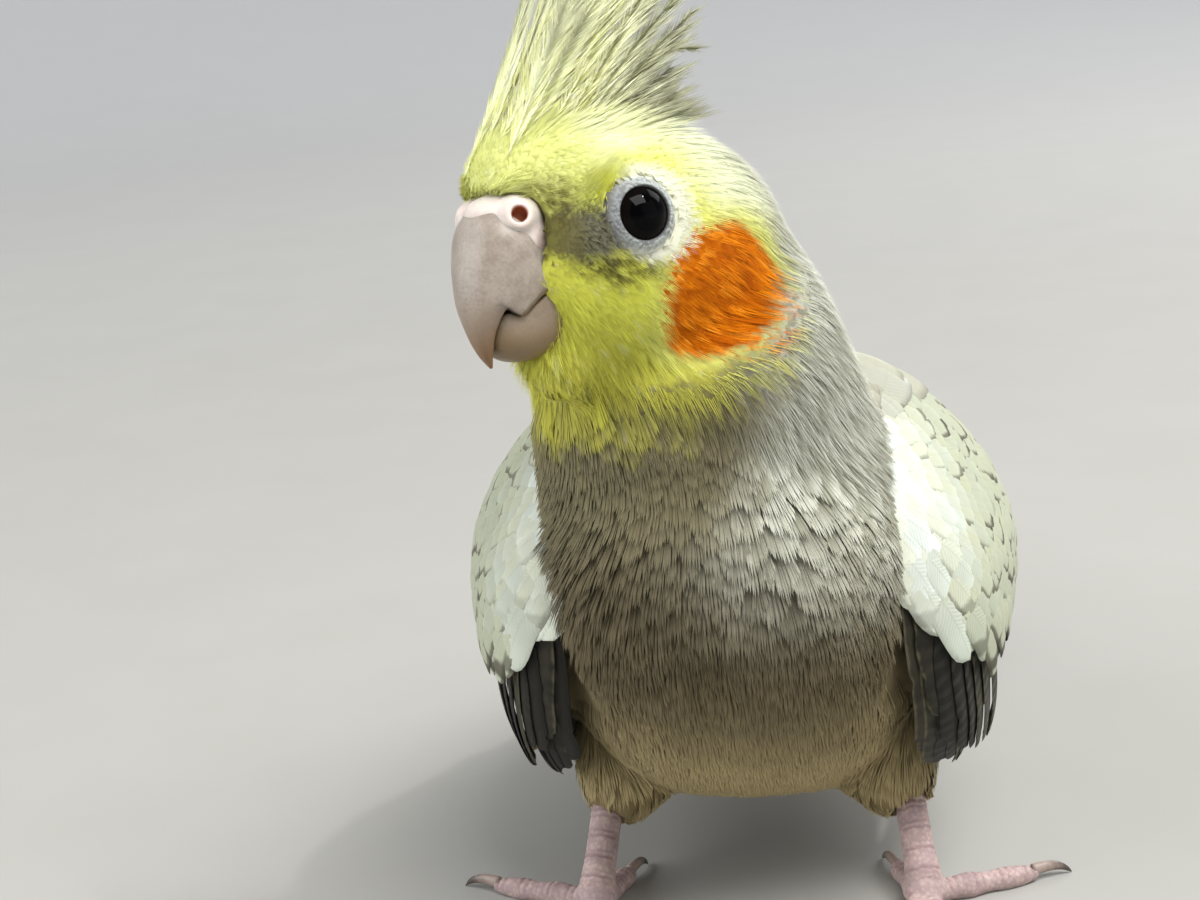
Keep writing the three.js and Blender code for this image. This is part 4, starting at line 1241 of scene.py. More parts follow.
def flight_row(side, count, start, end, turn_of, width, rises, rows, pearl):
    """A row of long blades. The pairs are values for its lowest and its highest blade."""
    blades = []
    for place in np.linspace(0, 1, count):
        level = mix(*rises, place)
        turns = [mix(*pair, place) for pair in turn_of]
        blades.append(
            wing_blade(
                side,
                (mix(*start, place) + jitter(0.006), turns[0]),
                (mix(*end, place) + jitter(0.02), turns[1] + jitter(0.012)),
                width * (1 + jitter(0.08)),
                lambda share, turn, u, level=level: tucked(level, turn),
                FLIGHT_SHAPE,
                rows=rows,
                pearl=mix(*pearl, place),
            )
        )
    return blades


# blades, shares of their roots and tips, turns, width, rises, rows of points and pearl, for the primaries,
# secondaries, primary coverts and alula
FLIGHT_ROWS = [
    (10, (0.25, 0.25), (1, 0.64), ((0.14, 0.5), (0.3, 0.6)), 7.6, (0.4, 2.7), 34, (0.1, 0.5)),
    (10, (0.3, 0.3), (0.56, 0.7), ((0.42, 0.93), (0.42, 0.96)), 8.5, (3.0, 4.3), 26, (0.9, 0.9)),
    (11, (0.05, 0.2), (0.22, 0.46), ((-0.03, 0.3), (-0.06, 0.22)), 5.2, (1.8, 4.6), 26, (0, 0.15)),
    (7, (0.05, 0.17), (0.16, 0.33), ((-0.02, 0.2), (-0.04, 0.14)), 4.0, (3.0, 5.6), 18, (0, 0.1)),
]


def flights_of(side):
    """The primaries, secondaries, primary coverts and alula of one wing."""
    blades = []
    for row in FLIGHT_ROWS:
        blades += flight_row(side, *row)
    return blades


def covert_row(side, count, start, reach, turns, width, tip_lift, slope=0.0, **marks):
    """One row of coverts across the wing, from its lower edge to the back."""
    blades = []
    for place in (np.arange(count) + 0.5) / count:
        turn = mix(*turns, place) + jitter(0.2 / count)
        first = start + slope * place + jitter(0.004)
        lift = tip_lift + jitter(0.12)

        def rise(share, turn, u, lift=lift):
            over = pad_rise(share, turn) - 0.9 + (0.9 + lift) * smooth(u, 0, 0.5) - 0.5 * u**3
            return tucked(over, turn)

        uneven = mix(0.3, 0.07, float(smooth(place, 0, 0.3)))
        ends = (first + reach * (1 + jitter(uneven)), turn + 0.015 + jitter(0.012))
        own = {key: value(place) for key, value in marks.items()}
        width_here = width * (1 + jitter(0.06))
        blades.append(wing_blade(side, (first, turn), ends, width_here, rise, COVERT_SHAPE, rows=10, **own))
    return blades


SMALL_COVERT_LOW = [(0.04, -0.12), (0.09, -0.02), (0.13, 0.08), (0.18, 0.18), (0.25, 0.3), (0.35, 0.4)]


def coverts_of(side):
    """Greater, median and small coverts and the scapulars of one wing."""

    def back(place):
        return float(smooth(place, 0.74, 0.92))

    def always(value):
        return lambda place: value

    rows = covert_row(side, 11, 0.285, 0.2, (0.42, 0.93), 5.6, 0.3, 0.02, tone=back, pearl=always(0.45))
    rows += covert_row(side, 14, 0.235, 0.15, (0.36, 0.93), 4.6, 0.45, 0.02, tone=back, pearl=always(0.55))
    for start in np.arange(0.215, -0.035, -0.0135):
        reach = 0.07 + 0.02 * float(smooth(start, 0.1, 0.19))
        low = float(along(SMALL_COVERT_LOW, start + reach))
        marked = float(smooth(start, -0.03, 0.07))

        def pearl(place, marked=marked):
            return marked * (1 - 0.4 * back(place))

        count = int((0.95 - low) * mix(23, 18, float(smooth(start, 0.1, 0.2))))
        rows += covert_row(side, count, start, reach, (low, 0.95), 3.7, 0.4, tone=back, pearl=pearl)
    for number, start in enumerate((0.17, 0.125, 0.08, 0.035)):
        lift = 0.8 + 0.12 * number
        marks = {"tone": always(0.7), "pearl": always(0.2)}
        rows += covert_row(side, 6, start, 0.16, (0.8, 1.02), 6.0, lift, **marks)
    return rows


def wing_piece(name, blades, finish):
    return collect(name, blades, finish, "wing_feathers", cells(len(blades)))


for side, side_name in SIDES:
    wing_flights = wing_piece(f"flights_{side_name}", flights_of(side), flight_finish)
    wing_coverts = wing_piece(f"coverts_{side_name}", coverts_of(side), covert_finish)
    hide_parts(f"wing_{side_name}")
    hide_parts(f"wing_{side_name}")

# %% [markdown]
# ## Tail
#
# Twelve tail feathers lie in a shallow roof, the middle pair longest and on top. Each pair below is
# shorter, so that the tail steps to a point. In a pearl bird they're yellowish with grey bars.

# %% Tail feathers
TAIL_ROOT, TAIL_ROOT_HEIGHT, TAIL_PAIRS, TAIL_STEP, TAIL_CENTRE_EXTRA = 62.0, 17.0, 6, 0.095, 0.08
TAIL_WIDTH, TAIL_LAYER, TAIL_ROOF, TAIL_THICKNESS = 10.5, 0.75, 12.0, 0.6
CENTRE_SHAPE = [(0, 0.5), (0.35, 0.9), (0.7, 0.8), (0.9, 0.42), (0.98, 0.18), (1, 0.04)]


def tail_height(y):
    return mix(TAIL_ROOT_HEIGHT, 0.2, smooth(y, TAIL_ROOT - 44, TAIL_TIP - 6))


def tail_blade(k, side, rows=60, columns=9):
    u, c = blade_grid(rows, columns)
    length = (TAIL_TIP - TAIL_ROOT) * (1 - TAIL_STEP * k - (TAIL_CENTRE_EXTRA if k else 0))
    y = TAIL_ROOT + length * u
    out = 1.6 + 1.1 * k + (0.6 + 0.75 * k) * u
    drop = TAIL_LAYER * (k + (0.3 if side > 0 else 0)) * (1 - 0.25 * u) + 0.1 * k * u
    roof = math.radians(TAIL_ROOF)
    half = TAIL_WIDTH / 2 * along(FLIGHT_SHAPE if k else CENTRE_SHAPE, u)
    half = half * ragged_edge(rows, columns, 0.1)
    spread_out = side * out + c * half * math.cos(roof)
    over = tail_height(y) - drop - side * c * half * math.sin(roof) + 0.22 * (1 - c**2)
    deep = TAIL_THICKNESS * (1 - 0.5 * c**2) * (1 - 0.45 * u)
    top = np.stack([spread_out, y, np.maximum(over + deep / 2, 0.35)], -1)
    bottom = np.stack([spread_out, y, np.maximum(over - deep / 2, 0.02)], -1)
    marks = {"shade": random.random(), "tone": k / TAIL_PAIRS, "pearl": 1.0}
    return {"top": body_place(top), "bottom": body_place(bottom), "u": u, "c": c * side, **marks}


TAIL_YELLOW, TAIL_GREY = colour("d6d08c"), colour("77725e")
tail = Finish("tail_feathers", Roughness=0.65, Sheen_Weight=0.05, Specular_IOR_Level=0.2)
reach, across, shade, tone = (tail.mark(name) for name in ("reach", "across", "shade", "tone"))
wobble = tail.noise(tail.place(), 2.2) - 0.5
bars = tail.wave(reach * 150 + abs(across) * 2.2 + wobble * 5)
barred = tail.fade(bars + wobble, -0.3, 0.5) * tail.fade(tone + wobble * 0.2, -0.1, 0.15)
tail_tint = tail.blend(tail.fade(wobble + shade * 0.4, -0.1, 0.4), TAIL_GREY, COVERT_GREY)
tail_tint = tail.blend(barred * 0.85, tail_tint, TAIL_YELLOW)
middle_pair = tail.fade(tone, 0.1, 0.02)
tail_tint = tail.blend(middle_pair * tail.fade(abs(across), 0.5, 0.9) * 0.6, tail_tint, TAIL_YELLOW)
shaft = tail.fade(abs(across), 0.07, 0.02)
tail_tint = tail.blend(shaft * 0.5, tail_tint, colour("3a372c"))
ridges = barb_ridges(tail, reach, across, 160, 8)
tail_tint = tail.blend(ridges * 0.2, tail_tint, colour("8a8a80"), "MULTIPLY")
tail_finish = tail.into(Base_Color=tail_tint, Normal=tail.bump(ridges + shaft, 0.4, 0.15))
tail_blades = [tail_blade(k, side) for k in range(TAIL_PAIRS - 1, -1, -1) for side in (1, -1)]
tail_piece = collect("tail_feathers", tail_blades, tail_finish, "tail_feathers", cells(len(tail_blades)))
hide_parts("tail")

# %% [markdown]
# Longer soft feathers cover the roots of the tail, above and below.

# %% Tail coverts
RUMP_COVERTS_FROM = 44.0


def rump_area(points):
    return (points - home_array)[:, 1] / MM > RUMP_COVERTS_FROM


rump_roots, rump_faces = spread(evenly(2.6), rump_area)
rump_length = mix(10, 19, smooth((rump_roots - home_array)[:, 1] / MM, RUMP_COVERTS_FROM, 80))
grow(
    "feathers_rump",
    rump_roots,
    rump_faces,
    length=rump_length,
    width=0.42 * rump_length,
    lift=np.full(len(rump_roots), 1.2),
    barbs=15,
    thick=np.full(len(rump_roots), 0.36),
    bent=True,
    slot="body_feathers",
)

# %% [markdown]
# ## Crest
#
# The crest stands up from the forehead and crown in narrow, lax plumes. The barbs of a plume aren't
# zipped together, so each plume is a fine shaft with loose spikes on both sides. Long ones stand at the
# front of the crown, and short ones run down behind.

# %% Crest plumes
CREST_PLUMES, CREST_FRONT, CREST_REAR, CREST_LONGEST = 100, 10.8, -9.0, 44.0
PLUME_ROOT, SHAFT_RADIUS, LOOSE_STEP, LOOSE_THICKNESS = 1.6, 0.16, 0.26, 0.085
LOOSE_LENGTHS = [(0, 3.2), (0.25, 5.2), (0.7, 4.6), (1, 2.4)]
SKULL = {"back": 8.0, "down": 1.4, "length": 19.8, "width": 13.3, "crown": 13.0}
BROW = {"forward": 4.0, "up": 3.6, "width": 9.5, "length": 8.4, "height": 7.6}


def crown_up(out, forward):
    """The crown's height above the eyes."""

    def height(x, y):
        return math.sqrt(max(0.05, 1 - x * x - y * y))

    skull = SKULL["crown"] * height((forward + SKULL["back"]) / SKULL["length"], out / SKULL["width"])
    brow = BROW["height"] * height((forward - BROW["forward"]) / BROW["length"], out / BROW["width"])
    return max(skull - SKULL["down"], BROW["up"] + brow)


# from the front of the crown to its back: share of the longest plume, rise and bend in degrees
PLUME_LENGTHS = [(0, 0.4), (0.15, 0.85), (0.3, 1), (0.45, 0.6), (0.6, 0.32), (1, 0.14)]
PLUME_RISES = [(0, 64), (0.35, 59), (0.5, 46), (0.7, 26), (1, 8)]
PLUME_BENDS = [(0, 0), (0.4, -8), (1, 14)]

# stray plumes: length, rise and bend
WISPS = {40: (27.0, 44.0, -42.0), 44: (23.0, 40.0, -24.0), 50: (16.0, 26.0, -30.0), 54: (13.0, 24.0, -20.0)}


def plume(number):
    """One crest plume: its shaft and loose barbs, as points, faces and marks."""
    place = number / (CREST_PLUMES - 1)
    side = 1 if number % 2 else -1
    out = side * (0.2 + 3.2 * random.random())
    forward = mix(CREST_FRONT, CREST_REAR, place) + jitter(0.8)
    length = CREST_LONGEST * along(PLUME_LENGTHS, place)
    length *= 0.62 + 0.38 * random.random() ** 0.7
    rise = along(PLUME_RISES, place) + jitter(4)
    bend = along(PLUME_BENDS, place) + jitter(8)
    if number in WISPS:
        length, rise, bend = WISPS[number]
    splay = math.radians(side * (1 + 6 * random.random()))
    steps = 14
    u = np.linspace(0, 1, steps)
    angle = np.radians(rise + bend * u)
    ahead = np.stack(
        [np.sin(splay) + 0 * u, -np.cos(angle) * np.cos(splay), np.sin(angle) * np.cos(splay)], -1
    )
    line = np.array([out, forward, crown_up(out, forward) - PLUME_ROOT])
    run = np.concatenate([[(0, 0, 0)], np.cumsum(ahead[:-1] + ahead[1:], axis=0) / 2])
    line = line + run * length / (steps - 1)
    broad = unit(np.array([0.9, -0.5 * side + jitter(0.4), 0.15]))
    flat = unit(broad - ahead * (ahead * broad).sum(-1, keepdims=True))
    lifted = np.cross(ahead, flat)

    radius = SHAFT_RADIUS * (1 - 0.8 * u)
    spokes = [flat * radius[:, None], -flat * radius[:, None], lifted * radius[:, None]]
    shaft_points, shaft_faces = loft(np.stack([line + spoke for spoke in spokes], 1))
    count = int(length / LOOSE_STEP)
    at = np.sort(random.random(2 * count)) ** 0.9 * 0.97 + 0.02
    hand = np.where(np.arange(2 * count) % 2, 1, -1)
    stations = np.linspace(0, 1, steps)

    def pick(rows):
        return np.stack([np.interp(at, stations, rows[:, k]) for k in range(3)], -1)

    root, forth, sideways, up = pick(line), pick(ahead), pick(flat), pick(lifted)
    long = along(LOOSE_LENGTHS, at) * (0.7 + 0.5 * random.random(len(at)))
    open_angle = np.radians(15 + 14 * random.random(len(at)))
    tip = root + (
        forth * np.cos(open_angle)[:, None] + sideways * (hand * np.sin(open_angle))[:, None]
        + up * (0.12 * (random.random(len(at)) - 0.5))[:, None]
    ) * long[:, None]
    thick = LOOSE_THICKNESS * (0.7 + 0.6 * random.random(len(at)))[:, None]
    spikes = np.stack([root - forth * thick, root + forth * thick, root + up * thick * 1.4, tip], 1)
    first = (np.arange(len(at)) * 4)[:, None, None]
    faces = (first + np.array([(0, 1, 3), (1, 2, 3), (2, 0, 3), (2, 1, 0)])).reshape(-1, 3)
    points, groups = joined([(shaft_points, shaft_faces), (spikes.reshape(-1, 3), [faces])])
    reach = np.concatenate([np.repeat(u, 3), [0, 1], np.stack([at, at, at, at + 0.08], 1).ravel()])
    shade = np.concatenate([np.full(len(shaft_points), 0.3), np.repeat(random.random(len(at)), 4)])
    across = np.concatenate([np.zeros(len(shaft_points)), (np.array([0, 0, 0, 1]) * hand[:, None]).ravel()])
    tone = np.full(len(points), place)
    return points, groups, {"reach": reach, "shade": shade, "across": across, "tone": tone}


crest = Finish("crest_plumes", Roughness=0.85, Sheen_Weight=0.06, Specular_IOR_Level=0.1)
reach, shade, tone = (crest.mark(name) for name in ("reach", "shade", "tone"))
wobble = crest.noise(crest.place(), 2.5) - 0.5
crest_tint = crest.blend(crest.fade(shade + wobble, 0.2, 1.0), colour("f9fbd4"), colour("eff28e"))
crest_tint = crest.blend(crest.fade(reach, 0.15, 0.6) * 0.5, crest_tint, CROWN_BACK)
crest_tint = crest.blend(crest.fade(reach + wobble * 0.5, 0.3, 0.9) * 0.75, crest_tint, colour("a0a17f"))
greyed = crest.fade(tone + wobble + shade * 0.5, 0.45, 0.95) * crest.fade(reach, 0.04, 0.3)
crest_tint = crest.blend(greyed * 0.7, crest_tint, colour("84836c"))
crest_finish = crest.into(Base_Color=crest_tint)
plumes = [plume(number) for number in range(CREST_PLUMES)]
crest_points, crest_faces = joined([(points, faces) for points, faces, _ in plumes])
crest_marks = {key: np.concatenate([marks[key] for _, _, marks in plumes]) for key in plumes[0][2]}
cell = cells(CREST_PLUMES)
crest_layout = []
for number, (points, _, marks) in enumerate(plumes):
    corner, size = cell(number, None)
    patch = [(marks["across"] + 1) / 2 * size + corner[0], marks["reach"] * 0.9 * size + corner[1]]
    crest_layout.append(np.stack(patch, -1))
crest_piece = make(
    "crest_plumes",
    head_place(*crest_points.T),
    crest_faces,
    crest_finish,
    "crest_feathers",
    np.concatenate(crest_layout),
    **crest_marks,
)
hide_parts("crest")
print("crest", CREST_PLUMES, "plumes", triangles(crest_piece), "triangles")

# %% [markdown]
# ## Eyes
#
# A cockatiel's eye looks black: a wide pupil in a very dark brown iris, under a wet clear front. It's
# turned from rings round the way it looks, with a slightly raised front. The gloss comes from a low
# roughness, so a small lamp gives it its bright spot.

# %% Rings round an axis


def eye_axis(side):
    angle = math.radians(EYE_FORWARD)
    return head_heading(side * math.cos(angle), math.sin(angle), 0.06)


def turned_rings(side, radii, heights, steps):
    """Rings round the way an eye looks, from its centre. Both lists are in millimetres."""
    axis = eye_axis(side)
    across = unit(np.cross(head_up, axis))
    over = np.cross(axis, across)
    angle = np.linspace(0, 2 * np.pi, steps, endpoint=False)
    radii, heights = (np.asarray(v, float).reshape(len(v), -1, 1) * MM for v in (radii, heights))
    around = across * np.cos(angle)[:, None] + over * np.sin(angle)[:, None]
    return head_place(side * EYE_OUT, 0.0, 0.0) + around * radii + axis * heights, angle


# %% Eyeballs
PUPIL, IRIS, EYE_BULGE = 1.75, 2.6, 0.12

eye = Finish("eye", Roughness=0.04, IOR=1.38, Specular_IOR_Level=0.09)
from_axis = eye.mark("reach")
iris_tint = eye.noise(eye.place(), 0.25)
iris_tint = eye.blend(iris_tint, colour("060505"), colour("0d0907"))
iris_share = eye.fade(from_axis, PUPIL, PUPIL + 0.25) * eye.fade(from_axis, IRIS + 0.3, IRIS)
eye_tint = eye.blend(iris_share, colour("020203"), iris_tint)
eye_finish = eye.into(Base_Color=eye_tint)


def eyeball(side, name):
    polar = np.linspace(0.02, np.pi - 0.02, 44)
    radius = EYE_RADIUS + EYE_BULGE * smooth(polar, 0.75, 0.1)
    rings, _ = turned_rings(side, radius * np.sin(polar), radius * np.cos(polar), 64)
    points, faces = loft(rings)
    reach = np.concatenate([np.repeat(radius * np.sin(polar), 64), [0, 0]])
    piece = make(f"eyeball_{name}", points, faces, eye_finish, "eye_gloss", reach=reach)
    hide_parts(f"eye_{name}")
    return piece


for side, side_name in SIDES:
    print(side_name, "eye", triangles(eyeball(side, side_name)), "triangles")

# %% [markdown]
# The lids are a narrow ring of bare, pale skin with small round grains. The ring is a closed loop: a
# profile that rolls over the edge of the opening and runs out under the feathers, carried round the eye
# in many steps. The grains are drawn at random and raised in the mesh, so no two are alike.

# %% Lids
LID_PROFILE = [(2.72, 2.7), (2.64, 2.95), (2.72, 3.12), (2.92, 3.12), (3.2, 2.94), (3.5, 2.66)]
LID_PROFILE += [(3.8, 2.28), (4.02, 1.85), (4.05, 1.4), (3.7, 1.4), (3.2, 1.9)]
LID_STEPS, LID_ROWS, GRAINS, GRAIN_HEIGHT, FOLD_HEIGHT = 260, 60, 330, 0.13, 0.05

lid = Finish(
    "lid_skin", Roughness=0.6, Specular_IOR_Level=0.3, Subsurface_Weight=0.08, Subsurface_Scale=0.4 * MM
)
lid_place = lid.place()
grain_height, ring_place = lid.mark("shade"), lid.mark("reach")
lid_tint = lid.blend(lid.fade(grain_height, 0.0, 0.9), colour("7d8380"), colour("adb3ad"))
lid_tint = lid.blend(lid.fade(ring_place, 2.95, 2.7) * 0.8, lid_tint, colour("3c3a3c"))
bill_side = lid.fade(head_wires(lid, lid_place)[1], 1, 4)
lid_tint = lid.blend(bill_side * 0.6, lid_tint, colour("66666a"))
lid_tint = lid.blend(lid.noise(lid_place, 0.9) * 0.4, lid_tint, colour("85858a"))
outer_tint = lid.blend(bill_side, RIM_WHITE, LILAC)
lid_tint = lid.blend(lid.fade(ring_place, 3.3, 3.95) * 0.7, lid_tint, outer_tint)
lid_fine = lid.noise(lid_place, 0.12, detail=3)
lid_finish = lid.into(Base_Color=lid_tint, Normal=lid.bump(lid_fine, 0.4, 0.05))


def lids(side, name):
    profile, _ = smooth_path([(r, h, 0) for r, h in LID_PROFILE], LID_ROWS)
    rings, angle = turned_rings(side, profile[:, 0], profile[:, 1], LID_STEPS)
    radius = profile[:, :1]
    front = (np.arange(LID_ROWS) < LID_ROWS * 0.6)[:, None] * smooth(radius, 2.62, 2.8)
    flat_place = np.stack([radius * np.cos(angle), radius * np.sin(angle)], -1)
    grain = np.zeros((LID_ROWS, LID_STEPS))
    for _ in range(GRAINS):
        at, size = 2.8 + 1.2 * random.random(), 0.1 + 0.12 * random.random()
        turn = 2 * np.pi * random.random()
        gap = np.linalg.norm(flat_place - (at * np.cos(turn), at * np.sin(turn)), axis=-1)
        grain = np.maximum(grain, np.exp(-((gap / size) ** 2)))
    folds = 0.35 * np.sin(9 * angle + 2.1 * radius) * np.sin(5 * radius - 3 * angle)
    raised = front * (GRAIN_HEIGHT * grain + FOLD_HEIGHT * folds)
    rings = rings + eye_axis(side) * raised[..., None] * MM
    here = np.arange(LID_ROWS * LID_STEPS).reshape(LID_ROWS, LID_STEPS)
    right, below = np.roll(here, -1, axis=1), np.roll(here, -1, axis=0)
    quads = np.stack([here, right, np.roll(below, -1, axis=1), below], -1).reshape(-1, 4)
    points = rings.reshape(-1, 3)
    piece = make(
        f"eye_ring_{name}",
        points,
        outward(points, [quads]),
        lid_finish,
        "lid_skin",
        shade=(grain * front).ravel(),
        reach=np.repeat(profile[:, 0], LID_STEPS),
    )
    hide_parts(f"lids_{name}")
    return piece


for side, side_name in SIDES:
    print(side_name, "lids", triangles(lids(side, side_name)), "triangles")

# %% [markdown]
# ## Bill
#
# The upper half of the bill is a hooked shell of horn. Two lines shape it, both seen from the side: the
# ridge on top, and the cutting edge, with its tooth and the notch behind the hook. Rings go from one
# edge over the ridge to the other edge and back through the hollow roof of the mouth. The lower half is
# a scoop made in the same way, and its rim shuts inside the edge of the upper half.

# %% Sections of the horn
RIDGE = [(12.2, 1.2, 0), (13.5, -0.8, 0), (14.1, -3.5, 0), (14.2, -6.2, 0), (13.9, -9, 0), (13.1, -11.8, 0)]
RIDGE += [(12.1, -13.6, 0), (11.0, -14.8, 0)]
CUTTING_EDGE = [(4.6, -5.2, 5.3), (6.6, -6.5, 5.35), (8.2, -7.9, 4.7), (9.7, -9.6, 3.8), (10.95, -8.9, 3.0)]
CUTTING_EDGE += [(11.4, -11.0, 1.75), (11.3, -13.1, 0.95), (10.85, -14.75, 0.2)]
KEEL = [(2.6, -11.6, 0), (5.2, -13.5, 0), (7.6, -14.2, 0), (9.6, -13.9, 0), (10.9, -12.9, 0)]
KEEL += [(11.4, -11.6, 0)]
LOWER_RIM = [(4.6, -5.8, 4.9), (6.7, -7.0, 4.85), (8.4, -8.4, 4.2), (9.7, -9.5, 3.3), (10.6, -9.3, 2.5)]
LOWER_RIM += [(11.2, -10.0, 1.1)]


def horn(ridge, edge, rings, arc, hollow, fullness):
    """A shell between a ridge line and a pair of edges. Both lines give forward, up and half width."""
    (top, u), (rim, _) = smooth_path(ridge, rings), smooth_path(edge, rings)
    turn = np.linspace(0, np.pi, arc)
    outer_out = np.cos(turn)
    outer_out = np.sign(outer_out) * np.abs(outer_out) ** 0.72
    outer_rise = np.sin(turn) ** 0.86
    belly = 1 + fullness * np.sin(2 * np.minimum(turn, np.pi - turn)) ** 2
    inner = np.linspace(np.pi, 0, arc // 2 + 2)[1:-1]
    across = np.concatenate([outer_out * belly, np.cos(inner) * hollow])
    rise = np.concatenate([outer_rise, np.sin(inner) * (1 - 2 * (1 - hollow)) * 0.9])
    across, rise = across[None, :], rise[None, :]
    out = rim[:, 2:] * across
    forward = mix(rim[:, :1], top[:, :1], rise)
    up = mix(rim[:, 1:2], top[:, 1:2], rise)
    points, faces = loft(head_place(out, forward, up))
    ends = [[0, 0], [1, 0]]
    sides = np.stack([np.repeat(u, rise.shape[1]), np.broadcast_to(rise, out.shape).ravel()], -1)
    inside = np.broadcast_to(np.arange(rise.shape[1]) >= arc, out.shape).ravel().astype(float)
    return points, faces, np.concatenate([sides, ends]), np.concatenate([inside, [1, 1]])


# %% [markdown]
# Horn is smooth and slightly clear, greyish pink on the sides, darker towards the hook, with faint growth
# lines across it. The lower half is stained darker, more so towards its keel. Along the cutting edge a dark
# brown is painted as the shade in the gap between the halves, and the inside is painted dark as the shade of
# the mouth's hollow.

# %% Finish of the horn
BILL_PINK, BILL_PALE, BILL_TIP = colour("8c8075"), colour("a59b8f"), colour("765838")
BILL_STAIN_AND_SHADE, MOUTH_PAINTED_SHADE = colour("76603f"), colour("2c1a16")

bill = Finish(
    "bill_horn", Roughness=0.38, Specular_IOR_Level=0.45, Subsurface_Weight=0.12, Subsurface_Scale=0.7 * MM
)
bill_place = bill.place()
run, rise, inside, lower = (bill.mark(name) for name in ("reach", "across", "shade", "tone"))
cloud = bill.noise(bill_place, 2.6, detail=3) - 0.5
fine = bill.noise(bill_place, 0.35, detail=3) - 0.5
bill_tint = bill.blend(bill.fade(cloud + fine * 0.5, -0.25, 0.25), BILL_PINK, BILL_PALE)
bill_tint = bill.blend(bill.fade(run + cloud * 0.15, 0.4, 0.9) * (1 - lower), bill_tint, BILL_TIP)
bill_tint = bill.blend(lower * 0.5, bill_tint, BILL_STAIN_AND_SHADE)
bill_tint = bill.blend(lower * bill.fade(rise + cloud * 0.3, 0.2, 0.75) * 0.8, bill_tint, BILL_STAIN_AND_SHADE)
# painted shade: dark brown along the cutting edges, where the gap between the halves lies in shade
bill_tint = bill.blend(bill.fade(rise, 0.12, 0.0) * 0.55, bill_tint, BILL_STAIN_AND_SHADE)
# painted shade: the inner faces are painted dark, as the hollow of the mouth lies in shade
bill_tint = bill.blend(inside, bill_tint, MOUTH_PAINTED_SHADE)
rings_wave = bill.wave((run * 34 + rise * 3 + cloud * 3) * (2 * math.pi))
relief = rings_wave * 0.12 + fine * 0.8 + cloud
bill_rough = bill.fade(fine + cloud, -0.3, 0.4) * 0.18 + 0.3
bill_finish = bill.into(Base_Color=bill_tint, Roughness=bill_rough, Normal=bill.bump(relief, 0.3, 0.08))


def horn_piece(name, ridge, edge, rings, arc, hollow, fullness, tone, node):
    points, faces, sides, inside = horn(ridge, edge, rings, arc, hollow, fullness)
    marks = {"reach": sides[:, 0], "across": sides[:, 1], "shade": inside}
    marks["tone"] = np.full(len(points), tone)
    piece = make(name, points, outward(points, faces), bill_finish, "bill_horn", **marks)
    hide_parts(node)
    print(name, triangles(piece), "triangles")


horn_piece("bill_upper_horn", RIDGE, CUTTING_EDGE, 110, 61, 0.84, 0.05, 0.0, "bill_upper")
horn_piece("bill_lower_horn", KEEL, LOWER_RIM, 70, 51, 0.84, 0.04, 1.0, "bill_lower")

# %% [markdown]
# ## Cere
#
# Soft bare skin swells over the root of the bill, with a round nostril in each bulge. Five rounded
# bodies are gathered, closed with a fine voxel remesh and smoothed. Then the nostrils are pushed in, and
# their rims are raised a little. A cut with a cylinder would be sharper, but skin has no sharp edge.

# %% Cere
CERE_FORWARD, CERE_UP, NOSTRIL_OUT, BULGE, NOSTRIL = 9.0, 0.2, 3.1, 2.4, 0.85
CERE_VOXEL, CERE_ROUNDS, NOSTRIL_DEPTH, NOSTRIL_RIM = 0.17, 22, 1.5, 0.14

cere_parts = [ball((0, CERE_FORWARD - 0.6, CERE_UP + 0.1), (4.2, 4.7, 2.5))]
for side in (1, -1):
    bulge_place = (side * NOSTRIL_OUT, CERE_FORWARD + 0.5, CERE_UP - 0.1)
    cere_parts.append(ball(bulge_place, (BULGE, BULGE + 0.2, BULGE)))
    cere_parts.append(ball((side * 3.8, 7.4, -2.1), (1.7, 2.9, 2.4)))
cere = make("cere", *joined(cere_parts))
baked(cere, ("REMESH", {"mode": "VOXEL", "voxel_size": CERE_VOXEL * MM}))
cere_points, cere_faces = eased(points_of(cere.data), edges_of(cere.data), CERE_ROUNDS), []
for face_group in (3, 4):
    rows = [list(face.vertices) for face in cere.data.polygons if len(face.vertices) == face_group]
    if rows:
        cere_faces.append(np.array(rows))
bpy.data.objects.remove(cere)
from_nostril = np.full(len(cere_points), 9.0)
for side in (1, -1):
    facing = head_heading(side * 0.8, 0.58, 0.12)
    centre = head_place(side * NOSTRIL_OUT, CERE_FORWARD + 0.5, CERE_UP - 0.2)
    offset = (cere_points - centre) / MM
    depth = offset @ facing
    radius = np.linalg.norm(offset - depth[:, None] * facing, axis=1)
    radius = np.where(depth > 0.5, radius, 9)
    push = -NOSTRIL_DEPTH * (1 - smooth(radius, NOSTRIL - 0.28, NOSTRIL + 0.06))
    push = push + NOSTRIL_RIM * np.exp(-(((radius - NOSTRIL - 0.45) / 0.3) ** 2))
    cere_points = cere_points + facing * (push * MM)[:, None]
    from_nostril = np.minimum(from_nostril, radius)

soft = Finish(
    "cere_skin", Roughness=0.5, Specular_IOR_Level=0.4, Subsurface_Weight=0.2, Subsurface_Scale=0.8 * MM
)
soft_place = soft.place()
_, forward, up = head_wires(soft, soft_place)
patch = soft.noise(soft_place, 1.1, detail=3) - 0.5
grain = soft.noise(soft_place, 0.22, detail=3) - 0.5
cere_tint = soft.blend(soft.fade(patch, -0.2, 0.25), colour("cdc1b8"), colour("dccfc7"))
rear = soft.fade(forward + up * 0.7 + patch * 2.5, 8.3, 5.2)
cere_tint = soft.blend(rear * 0.75, cere_tint, colour("8b6b55"))
cere_tint = soft.blend(soft.fade(up + patch, -1.2, -2.8) * 0.3, cere_tint, colour("a88a78"))
nostril_share = soft.mark("reach")
cere_tint = soft.blend(soft.fade(nostril_share, 1.5, 1.0) * 0.7, cere_tint, colour("f0ded6"))
